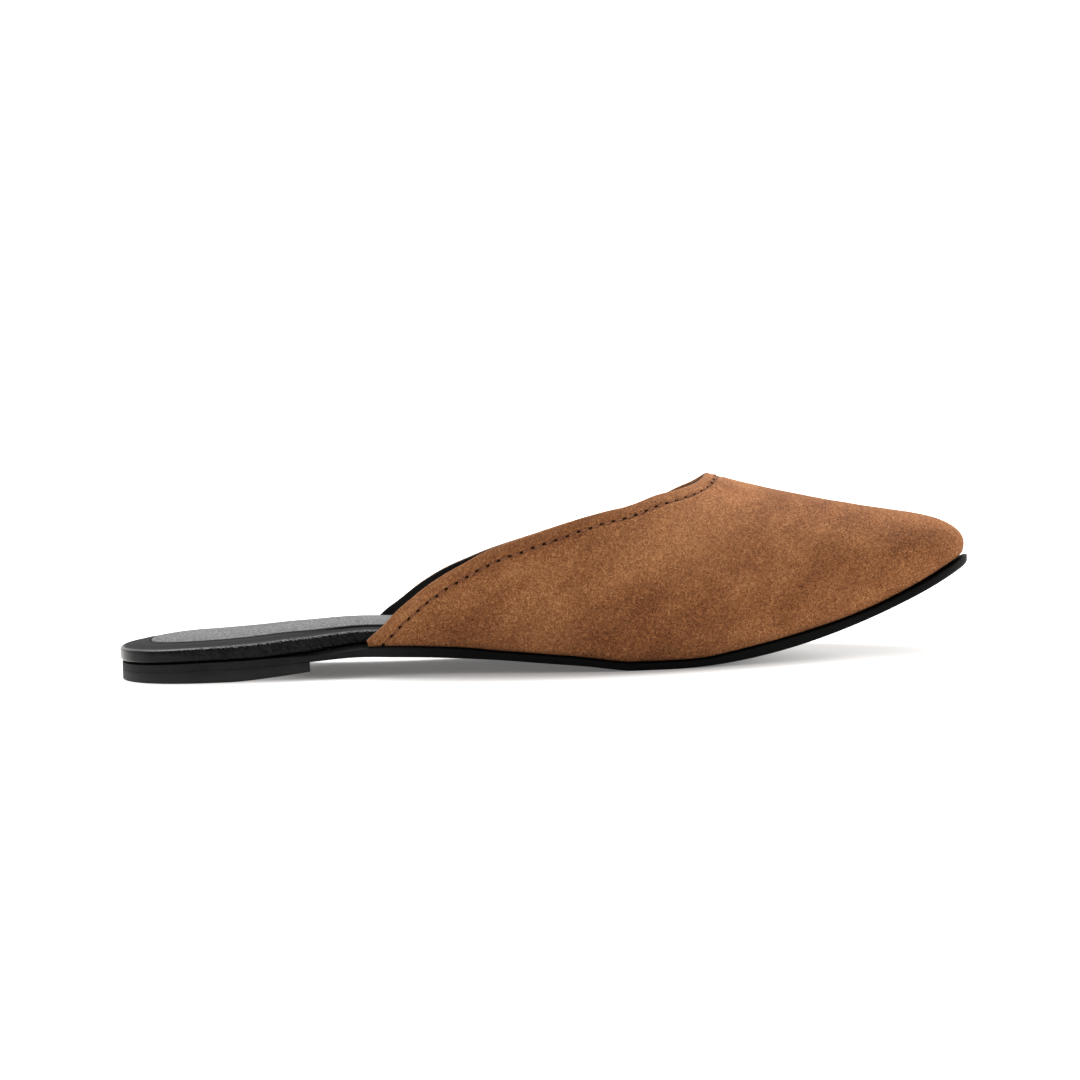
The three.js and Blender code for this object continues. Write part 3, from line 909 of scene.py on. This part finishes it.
# The share of the bed's thickness at which the wrap's dull slope starts, and where its creases begin
CREST = 0.7
CREST_LEAD = 0.06
SLOPE_CALM = 0.8
PLEATS_START = 14
PLEATS_LEAD = 22
GROOVE_LEVEL = 0.928
# The groove's wall: inset from its edge, depth under the bed's top
GROOVE_RINGS = [
    (0.22, 0.34),
    (0.36, 0.62),
    (0.42, 1.0),
    (0.45, SOCK),
]


def pleats(x, side, share):
    """How far the wrap's edge is drawn in by its pleats."""
    depth = np.zeros_like(x)
    shift = INNER_SHIFT if side > 0 else 0
    for at, deep, width, lean in PLEATS:
        centre = at + shift + lean * (1 - 2 * share)
        depth += deep * bell(x - centre, width)
    for height, pitch, upwards, apart in FINE_PLEATS:
        fine = height * np.sin(x * pitch + share * upwards + side * apart)
        depth += fine * ease((x - FINE_START) / FINE_LEAD)
    return depth * bell(share - PLEATS_LEVEL, PLEATS_SPREAD)


def groove_ring(inset, depth):
    """A ring further in than the groove's edge and lower than the footbed's top."""
    return (along(lambda x: -groove_inset(x) - inset), along(lambda x: bed_top(x) - depth))


def make_footbed():
    inset, height = curve(WRAP_PROFILE, 1), curve(WRAP_PROFILE, 2)
    last = WRAP_PROFILE[-1]
    rings = []
    for share in np.linspace(0, 1, WRAP_STEPS):
        def margin(x, side, share=share):
            beyond = ease((share - last[0]) / (1 - last[0]))
            edge = mix(inset(share), groove_inset(x), beyond)
            return -edge - pleats(x, side, share)

        def level(x, side, share=share):
            beyond = (share - last[0]) / (1 - last[0])
            lift = height(share) if share <= last[0] else mix(last[2], GROOVE_LEVEL, beyond)
            sunk = pleats(x, side, share) * PLEATS_DROP
            return seat_line(x) + GAP + bed_thickness(x) * lift - sunk

        rings.append((margin, level))
    rings += [groove_ring(inset, depth) for inset, depth in GROOVE_RINGS]
    return slab("footbed_wrap", BED_COLUMNS, rings)


SOCK_SEED = SEED + 5
SOCK_RIPPLE = (26, 0.05)
CROWN_POWER = 4
RIPPLE_POWER = 6
# The sock's insets from the groove's edge, and its depths under the bed's top
SOCK_INSET = 0.75
SOCK_BOTTOM = SOCK - 0.15
SOCK_EDGE = 0.4
EDGE_DEPTH = 0.12
SHOULDER_INSET = 2.6
SHOULDER_DEPTH = 0.02
SOCK_EDGE_STEPS = 6


def make_sock():
    def shape(cap, share, breadth):
        wide = np.clip(breadth / WAIST_WIDTH, 0, 1)
        across = 2 * share - 1
        cap = cap.copy()
        cap[..., 2] += SOCK_CROWN * wide * (1 - across**CROWN_POWER)
        cap[..., 2] += ripple(cap, SOCK_SEED, *SOCK_RIPPLE) * (1 - across**RIPPLE_POWER) * wide
        return cap

    rings = [groove_ring(SOCK_INSET, SOCK_BOTTOM)]
    for turn in quarter_turn(SOCK_EDGE_STEPS):
        inset = SOCK_INSET + SOCK_EDGE * (1 - math.cos(turn))
        rings.append(groove_ring(inset, EDGE_DEPTH + SOCK_EDGE * (1 - math.sin(turn))))
    rings.append(groove_ring(SHOULDER_INSET, SHOULDER_DEPTH))
    return slab("sock_pad", SOCK_COLUMNS, rings, top=shape)


UNDER_INSET = 3
SIDE_HOLLOW = 0.06


def make_outsole():
    def top_edge(x):
        return seat_line(x) - rim_drop(x)

    rings = [(along(lambda x: sole_margin(x) - UNDER_INSET), along(underside))]
    for turn in quarter_turn(ROUND_STEPS):
        rings.append((
            lambda x, side, turn=turn: sole_margin(x) - bevel(x) * (1 - math.sin(turn)),
            lambda x, side, turn=turn: underside(x) + bevel(x) * (1 - math.cos(turn)),
        ))
    rings.append((
        along(lambda x: sole_margin(x) - SIDE_HOLLOW * forepart(x)),
        along(lambda x: (underside(x) + top_edge(x)) / 2),
    ))
    for turn in quarter_turn(ROUND_STEPS):
        rings.append((
            lambda x, side, turn=turn: sole_margin(x) - rim_edge(x) * (1 - math.cos(turn)),
            lambda x, side, turn=turn: top_edge(x) - rim_edge(x) * (1 - math.sin(turn)),
        ))
    rings.append((along(lambda x: sole_margin(x) - RIM), along(seat_line)))
    return slab("outsole_rubber", SOLE_COLUMNS, rings)


def make_heel_lift():
    def rise(x):
        return BREAST_RISE * np.clip((x - HEEL_FLAT) / (HEEL_LENGTH - HEEL_FLAT), 0, 1) ** BREAST_POWER

    taus = tau_at(HEEL_LENGTH) * np.linspace(0, 1, LIFT_STATIONS)
    layers = [
        (LIFT_BEVEL * (1 - math.sin(turn)), LIFT_BEVEL * (1 - math.cos(turn)))
        for turn in quarter_turn(ROUND_STEPS)
    ]
    share = np.linspace(0, 1, LIFT_COLUMNS + 1)[None, :, None]
    levels = []
    for inset, lift in [*layers, (0.0, None)]:
        outer = offset(taus, -1, sole_margin(station_x(taus)) - inset)[:, None]
        inner = offset(taus, 1, sole_margin(station_x(taus)) - inset)[:, None]
        place = outer * (1 - share) + inner * share
        pull = ease((place[..., 0] - HEEL_FLAT) / (HEEL_LENGTH - HEEL_FLAT))
        place[..., 0] -= BREAST_HOLLOW * 4 * (share * (1 - share))[..., 0] * pull
        x = place[..., 0]
        z = underside(x) - LIFT_JOINT if lift is None else rise(x) + lift
        levels.append(np.concatenate([place, z[..., None]], -1))
    stack = np.stack(levels)
    builder = Builder()
    for end in (0, -1):
        builder.grid(stack[end])
        builder.grid(stack[:, :, end])
        builder.grid(stack[:, end])
    return builder.make("heel_rubber")


# Materials. Colours are linear red, green and blue; a tone's stops are (noise, colour).
NUBUCK_TONES = [
    (0.26, (0.105, 0.033, 0.011)),
    (0.44, (0.237, 0.085, 0.029)),
    (0.55, (0.334, 0.128, 0.046)),
    (0.74, (0.53, 0.242, 0.100)),
]
# Where the leather is paler or has painted shade: a painted distance, a colour, and stops of (cm,
# strength)
LEATHER_TINTS_AND_PAINTED_SHADE = [
    ("topline", (0.34, 0.15, 0.065, 1), ((0.0, 0.38), (0.13, 0.12), (0.22, 0.0))),
    # painted shade in the seam's channel, under the thread
    ("topline", (0.10, 0.038, 0.016, 1), ((0.3, 0.0), (0.335, 0.7), (0.38, 0.7), (0.415, 0.0))),
    # painted shade just over the sole, where the leather tucks down to the gap
    ("foot", (0.085, 0.034, 0.015, 1), ((0.0, 0.7), (0.035, 0.28), (0.2, 0.0))),
]
THREAD_TONES = [(0.3, (0.17, 0.068, 0.032)), (0.7, (0.33, 0.145, 0.078))]
# the needle holes' colour is painted shade for the dark inside of each hole
HOLE_SHADE_TONES = [(0.3, (0.014, 0.005, 0.002)), (0.7, (0.035, 0.012, 0.005))]
FLOOR_TONES = [(0.3, (0.50, 0.49, 0.48)), (0.7, (0.52, 0.51, 0.50))]
# Shares of a black material's base tone at both ends of its noise
BLACK_LOW = (0.6, 0.6, 0.62)
BLACK_HIGH = (1.6, 1.57, 1.55)
RUBBER_LOW = (0.6, 0.6, 0.6)
RUBBER_HIGH = (1.6, 1.6, 1.6)
LOW_NOISE = 0.35
HIGH_NOISE = 0.65
# Painted shade: the outsole's forepart is darkened where the shoe shades its side
PAINTED_SHADE_RUBBER = (0.002, 0.002, 0.002, 1)
MIDDLE = (0.5, 0.5, 0.5, 1)
# The roughness of the wrap's dull slope, and how much rougher the pores are
DULL = (0.85, 0.85, 0.85, 1)
PORE_ROUGHNESS = 0.3
MM_PER_CM = 10
# A mix node's colour sockets share their names with others, so they go by number.
MIX_UNDER = 6
MIX_OVER = 7
MIX_RESULT = 2


def new_material(name, values):
    material = bpy.data.materials.new(name)
    material.use_nodes = True
    tree = material.node_tree
    shader = tree.nodes["Principled BSDF"]
    for socket, value in values.items():
        shader.inputs[socket].default_value = value
    return material, tree, shader


def put(tree, socket, value):
    if isinstance(value, bpy.types.NodeSocket):
        tree.links.new(value, socket)
    else:
        socket.default_value = value


def noise(tree, vector, size, detail=3.0, roughness=0.55, distortion=0.0):
    """Noise with features about size millimetres across."""
    node = tree.nodes.new("ShaderNodeTexNoise")
    put(tree, node.inputs["Vector"], vector)
    node.inputs["Scale"].default_value = 1 / (size * MM)
    node.inputs["Detail"].default_value = detail
    node.inputs["Roughness"].default_value = roughness
    node.inputs["Distortion"].default_value = distortion
    return node.outputs["Fac"]


def object_place(tree, stretch=(1, 1, 1), turn=(0, 0, 0), centre=(0, 0, 0)):
    """The object's own coordinates, stretched along axes that may be turned."""
    place = tree.nodes.new("ShaderNodeTexCoord").outputs["Object"]
    mapping = tree.nodes.new("ShaderNodeMapping")
    mapping.vector_type = "TEXTURE"
    mapping.inputs["Scale"].default_value = stretch
    mapping.inputs["Rotation"].default_value = turn
    mapping.inputs["Location"].default_value = centre
    tree.links.new(place, mapping.inputs["Vector"])
    return mapping.outputs["Vector"]


def sum_of(tree, *parts):
    """A weighted sum of (socket, weight) pairs."""
    total = 0.0
    for socket, weight in parts:
        node = tree.nodes.new("ShaderNodeMath")
        node.operation = "MULTIPLY_ADD"
        put(tree, node.inputs[0], socket)
        node.inputs[1].default_value = weight
        put(tree, node.inputs[2], total)
        total = node.outputs[0]
    return total


def ramp(tree, value, stops):
    node = tree.nodes.new("ShaderNodeValToRGB")
    put(tree, node.inputs["Fac"], value)
    elements = node.color_ramp.elements
    while len(elements) < len(stops):
        elements.new(0.5)
    for element, (at, colour) in zip(elements, stops):
        element.position = at
        element.color = (*colour, 1) if len(colour) == 3 else colour
    return node.outputs["Color"]


def grey_ramp(tree, value, *stops):
    return ramp(tree, value, [(at, (level,) * 3) for at, level in stops])


def black_tone(tree, tone, base, low, high):
    """A base tone that the noise makes darker or paler."""
    low, high = (tuple(base * share for share in shares) for shares in (low, high))
    return ramp(tree, tone, [(LOW_NOISE, low), (HIGH_NOISE, high)])


def attribute(tree, name):
    node = tree.nodes.new("ShaderNodeAttribute")
    node.attribute_name = name
    return node.outputs["Fac"]


def tint(tree, factor, under, over):
    node = tree.nodes.new("ShaderNodeMix")
    node.data_type = "RGBA"
    put(tree, node.inputs["Factor"], factor)
    put(tree, node.inputs[MIX_UNDER], under)
    put(tree, node.inputs[MIX_OVER], over)
    return node.outputs[MIX_RESULT]


def bump(tree, shader, *layers):
    """Chains bump layers of (height socket, distance in millimetres, strength)."""
    normal = None
    for height, distance, strength in layers:
        node = tree.nodes.new("ShaderNodeBump")
        node.inputs["Distance"].default_value = distance * MM
        node.inputs["Strength"].default_value = strength
        tree.links.new(height, node.inputs["Height"])
        if normal:
            tree.links.new(normal, node.inputs["Normal"])
        normal = node.outputs["Normal"]
    tree.links.new(normal, shader.inputs["Normal"])


def nubuck():
    material, tree, shader = new_material("brushed_leather", {
        "Specular IOR Level": 0.12,
        "Sheen Weight": 0.08,
        "Sheen Roughness": 0.45,
        "Sheen Tint": (1.0, 0.62, 0.36, 1),
    })
    place = object_place(tree, stretch=(1.5, 1, 0.8), turn=(0, -0.6, 0))
    clouds = noise(tree, place, size=26, detail=2, roughness=0.5, distortion=0.3)
    patches = noise(tree, place, size=8, detail=4, roughness=0.6, distortion=0.8)
    worms = noise(tree, object_place(tree), size=0.56, detail=1, roughness=0.5, distortion=1.6)
    grain = grey_ramp(tree, worms, (0.38, 0.0), (0.62, 1.0))
    tone = sum_of(tree, (clouds, 0.48), (patches, 0.24), (grain, 0.3))
    colour = ramp(tree, tone, NUBUCK_TONES)
    # the topline's paler edge, then painted shade in the seam's channel and just over the sole
    for painted, shade, stops in LEATHER_TINTS_AND_PAINTED_SHADE:
        strength = grey_ramp(tree, attribute(tree, painted), *stops)
        colour = tint(tree, strength, colour, shade)
    tree.links.new(colour, shader.inputs["Base Color"])
    tree.links.new(grey_ramp(tree, patches, (0.3, 0.78), (0.7, 0.92)), shader.inputs["Roughness"])
    bump(tree, shader, (patches, 0.25, 0.3), (worms, 0.8, 1.0))
    return material


def black_leather(name, roughness, wrinkle, pebble, base, gloss):
    """Leather with creases and pores of the strengths wrinkle and pebble."""
    material, tree, shader = new_material(name, {"Specular IOR Level": gloss})
    place = object_place(tree)
    drawn = object_place(tree, stretch=(3.4, 1, 0.75), turn=(0, 0.85, 0))
    creases = noise(tree, drawn, size=1.5, detail=2, roughness=0.6, distortion=0.6)
    creases = tint(tree, attribute(tree, "pleated"), MIDDLE, creases)
    grain = noise(tree, place, size=0.8, detail=2, roughness=0.6, distortion=0.6)
    soft = noise(tree, place, size=14, detail=3, roughness=0.5)
    tone = sum_of(tree, (soft, 0.6), (grain, 0.25), (creases, 0.15))
    tree.links.new(black_tone(tree, tone, base, BLACK_LOW, BLACK_HIGH), shader.inputs["Base Color"])
    pores = roughness + PORE_ROUGHNESS * pebble
    matt = grey_ramp(tree, grain, (0.38, pores), (0.62, roughness))
    tree.links.new(tint(tree, attribute(tree, "dull"), matt, DULL), shader.inputs["Roughness"])
    bump(tree, shader, (creases, 1.2, wrinkle), (grain, 0.2, pebble))
    return material


def rubber(name, roughness, scratches, base, gloss):
    """Rubber with fine lines along its edges, darker with painted shade where the forepart attribute is
    painted.
    """
    material, tree, shader = new_material(name, {"Specular IOR Level": gloss})
    place = object_place(tree)
    drawn = object_place(tree, stretch=(16, 16, 1))
    lines = noise(tree, drawn, size=0.45, detail=3, roughness=0.7)
    grain = noise(tree, place, size=0.5, detail=2, roughness=0.6)
    soft = noise(tree, place, size=12, detail=4, roughness=0.6)
    tone = sum_of(tree, (soft, 0.5), (lines, 0.35), (grain, 0.15))
    colour = black_tone(tree, tone, base, RUBBER_LOW, RUBBER_HIGH)
    # painted shade over the forepart, stored as the forepart attribute
    colour = tint(tree, attribute(tree, "forepart"), colour, PAINTED_SHADE_RUBBER)
    tree.links.new(colour, shader.inputs["Base Color"])
    matt = grey_ramp(tree, tone, (LOW_NOISE, roughness - 0.07), (HIGH_NOISE, roughness + 0.1))
    tree.links.new(matt, shader.inputs["Roughness"])
    bump(tree, shader, (lines, 0.25, scratches), (grain, 0.05, 0.35))
    return material


def thread_material():
    material, tree, shader = new_material("thread", {"Roughness": 0.7, "Specular IOR Level": 0.1})
    place = object_place(tree)
    tone = noise(tree, place, size=0.7, detail=2)
    tree.links.new(ramp(tree, tone, THREAD_TONES), shader.inputs["Base Color"])
    bump(tree, shader, (noise(tree, place, size=0.2, detail=1), 0.05, 0.5))
    return material


# Near black: painted shade for the inside of a needle hole
def hole_shade_material():
    material, tree, shader = new_material("needle_hole_shade", {"Roughness": 0.9, "Specular IOR Level": 0.02})
    tone = noise(tree, object_place(tree), size=0.5, detail=2)
    tree.links.new(ramp(tree, tone, HOLE_SHADE_TONES), shader.inputs["Base Color"])
    return material


def paint(piece, name, values):
    """Stores a value for each vertex that the material reads."""
    layer = piece.data.attributes.new(name, "FLOAT", "POINT")
    layer.data.foreach_set("value", np.asarray(values, np.float32))


def own_points(piece):
    """The piece's points in the shoe's own millimetres."""
    points = np.zeros(len(piece.data.vertices) * 3)
    piece.data.vertices.foreach_get("co", points)
    return points.reshape(-1, 3) / MM + ORIGIN


def paint_wrap(piece):
    points = own_points(piece)
    x = points[:, 0]
    share = (points[:, 2] - seat_line(x) - GAP) / bed_thickness(x)
    dull = ease((share - CREST) / CREST_LEAD)
    paint(piece, "dull", dull)
    paint(piece, "pleated", ease((x - PLEATS_START) / PLEATS_LEAD) * (1 - SLOPE_CALM * dull))


# Distances from the topline and from the sole, which place the paler edge and the painted shade
def paint_leather(piece, outer):
    points = own_points(piece)
    over_foot = np.maximum(0, points[:, 2] - upper_foot(points[:, 0]))
    paint(piece, "topline", topline_distance(points, outer) / MM_PER_CM)
    paint(piece, "foot", over_foot / MM_PER_CM)


# How far the outsole's painted shade takes to set in, from the quarter's end forwards
PAINTED_SHADE_LEAD = 35


def paint_outsole_shade(piece):
    x = own_points(piece)[:, 0]
    paint(piece, "forepart", ease((x - QUARTER_REAR) / PAINTED_SHADE_LEAD))


# The studio
ELEVATION = math.radians(4.8)
ROLL = math.radians(-2.2)
DISTANCE = 2000
PHOTO = 1080
PIXELS_PER_MM = 3.2447
LOOK_AT = np.array([131.0, 0.0, 25.0])
LOOK_AT_PIXEL = (542.7, 580.28)
SENSOR = 36
CLIP_START = 0.05


def make_camera():
    ahead = np.array([0, math.cos(ELEVATION), -math.sin(ELEVATION)])
    level, upright = np.array([1, 0, 0]), np.array([0, math.sin(ELEVATION), math.cos(ELEVATION)])
    right = level * math.cos(ROLL) + upright * math.sin(ROLL)
    up = upright * math.cos(ROLL) - level * math.sin(ROLL)
    centre = PHOTO / 2
    target = LOOK_AT + right * (centre - LOOK_AT_PIXEL[0]) / PIXELS_PER_MM
    target = target + up * (LOOK_AT_PIXEL[1] - centre) / PIXELS_PER_MM
    data = bpy.data.cameras.new("camera")
    data.sensor_width = SENSOR
    data.lens = PIXELS_PER_MM * DISTANCE / PHOTO * SENSOR
    data.clip_start = CLIP_START
    camera = bpy.data.objects.new("camera", data)
    bpy.context.scene.collection.objects.link(camera)
    turn = Matrix((right, up, -ahead)).transposed().to_4x4()
    camera.matrix_world = Matrix.Translation(Vector(to_row(target - ahead * DISTANCE))) @ turn
    bpy.context.scene.camera = camera


# The floor in metres. Its painted glow, weakest at a painted shadow: a distance from the shadow's
# centre, and a strength
FLOOR_RADIUS = 4.0
FLOOR_SIDES = 96
FLOOR_CLOUDS = 400
PAINTED_FLOOR_GLOW = [(0.064, 0.13), (0.108, 0.68), (0.3, 1.0)]
PAINTED_SHADOW_CENTRE = (-0.012, -0.012, 0)
PAINTED_SHADOW_SHAPE = (1, 0.57, 1)
PAINTED_SHADOW_TURN = (0, 0, -0.19)
# The studio's walls: strength behind the shoe and on the camera's side, and where the change is
BACK_LIGHT = 1.3
FRONT_LIGHT = 0.52
FRONT_END = 0.2
BACK_END = 0.75
# Softboxes: name, place, what it faces, size and watts
SOFTBOXES = [
    ("top", (0.0, 0.7, 1.15), (0, 0, 0), (1.4, 0.8), 32),
    ("toe", (1.5, -0.1, 0.25), (0.1, 0, 0), (1.2, 0.4), 7),
]


def make_floor():
    """A wide pale floor with a painted glow, which is weakest where it paints the shadow of the shoe's
    waist and ball.
    """
    mesh = bpy.data.meshes.new("floor")
    bm = bmesh.new()
    bmesh.ops.create_circle(bm, cap_ends=True, segments=FLOOR_SIDES, radius=FLOOR_RADIUS)
    bm.to_mesh(mesh)
    bm.free()
    floor = bpy.data.objects.new("floor", mesh)
    bpy.context.scene.collection.objects.link(floor)
    material, tree, shader = new_material("painted_glow_floor", {
        "Roughness": 0.9,
        "Specular IOR Level": 0.1,
        "Emission Color": (1.0, 0.975, 0.955, 1),
    })
    around = object_place(tree, PAINTED_SHADOW_SHAPE, PAINTED_SHADOW_TURN, PAINTED_SHADOW_CENTRE)
    length = tree.nodes.new("ShaderNodeVectorMath")
    length.operation = "LENGTH"
    tree.links.new(around, length.inputs[0])
    # the glow is weakest round the painted shadow's centre, which paints the shadow on the floor
    glow = grey_ramp(tree, length.outputs["Value"], *PAINTED_FLOOR_GLOW)
    tree.links.new(glow, shader.inputs["Emission Strength"])
    tone = noise(tree, object_place(tree), size=FLOOR_CLOUDS, detail=1)
    tree.links.new(ramp(tree, tone, FLOOR_TONES), shader.inputs["Base Color"])
    mesh.materials.append(material)
    floor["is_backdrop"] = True


def softbox(name, place, aim, size, power):
    data = bpy.data.lights.new(name, "AREA")
    data.shape = "RECTANGLE"
    data.size, data.size_y = size
    data.energy = power
    light = bpy.data.objects.new(name, data)
    bpy.context.scene.collection.objects.link(light)
    light.location = place
    light.rotation_euler = (Vector(aim) - Vector(place)).to_track_quat("-Z", "Y").to_euler()


def make_lights():
    """A white studio that is bright behind the shoe and above it, and dimmer on the camera's side."""
    world = bpy.data.worlds.new("studio")
    world.use_nodes = True
    tree = world.node_tree
    background = tree.nodes["Background"]
    place = tree.nodes.new("ShaderNodeTexCoord").outputs["Generated"]
    parts = tree.nodes.new("ShaderNodeSeparateXYZ")
    tree.links.new(place, parts.inputs["Vector"])
    depth = sum_of(tree, (parts.outputs["Y"], 0.5), (1.0, 0.5))
    shades = grey_ramp(tree, depth, (FRONT_END, FRONT_LIGHT / BACK_LIGHT), (BACK_END, 1.0))
    tree.links.new(shades, background.inputs["Color"])
    background.inputs["Strength"].default_value = BACK_LIGHT
    bpy.context.scene.world = world
    for box in SOFTBOXES:
        softbox(*box)
    bpy.context.scene.view_settings.view_transform = "Standard"


upper_piece, skin = make_upper()
finish_piece(upper_piece, nubuck(), "upper_nubuck", "upper")
paint_leather(upper_piece, skin)
black_lining = black_leather(
    "lining_leather", roughness=0.5, wrinkle=0.25, pebble=0.4, base=0.004, gloss=0.3
)
finish_piece(make_lining(), black_lining, "sock_leather")
needle_places, needle_normals = seam_points(skin)
stitches = make_stitches(needle_places, needle_normals)
hole_shades = make_hole_shades(needle_places, needle_normals)
finish_piece(stitches, thread_material(), "upper_nubuck")
finish_piece(hole_shades, hole_shade_material(), "upper_nubuck")
wrap_leather = black_leather(
    "wrap_leather", roughness=0.18, wrinkle=1.0, pebble=0.1, base=0.003, gloss=0.11
)
wrap = finish_piece(make_footbed(), wrap_leather, "footbed_leather", "footbed")
paint_wrap(wrap)
sock_leather = black_leather(
    "sock_leather", roughness=0.34, wrinkle=0.06, pebble=1.0, base=0.02, gloss=0.23
)
sock = finish_piece(make_sock(), sock_leather, "sock_leather", "sock")
sole_rubber = rubber("outsole_rubber", roughness=0.55, scratches=0.6, base=0.012, gloss=0.06)
outsole = finish_piece(make_outsole(), sole_rubber, "outsole_rubber", "outsole")
paint_outsole_shade(outsole)
heel_rubber = rubber("heel_rubber", roughness=0.6, scratches=0.8, base=0.014, gloss=0.2)
finish_piece(make_heel_lift(), heel_rubber, "heel_rubber", "heel_lift")
make_floor()
make_lights()
make_camera()

boxes = {"cad": cad_box, "visual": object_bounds()}
boxes = {name: [list(corner) for corner in box] for name, box in boxes.items()}
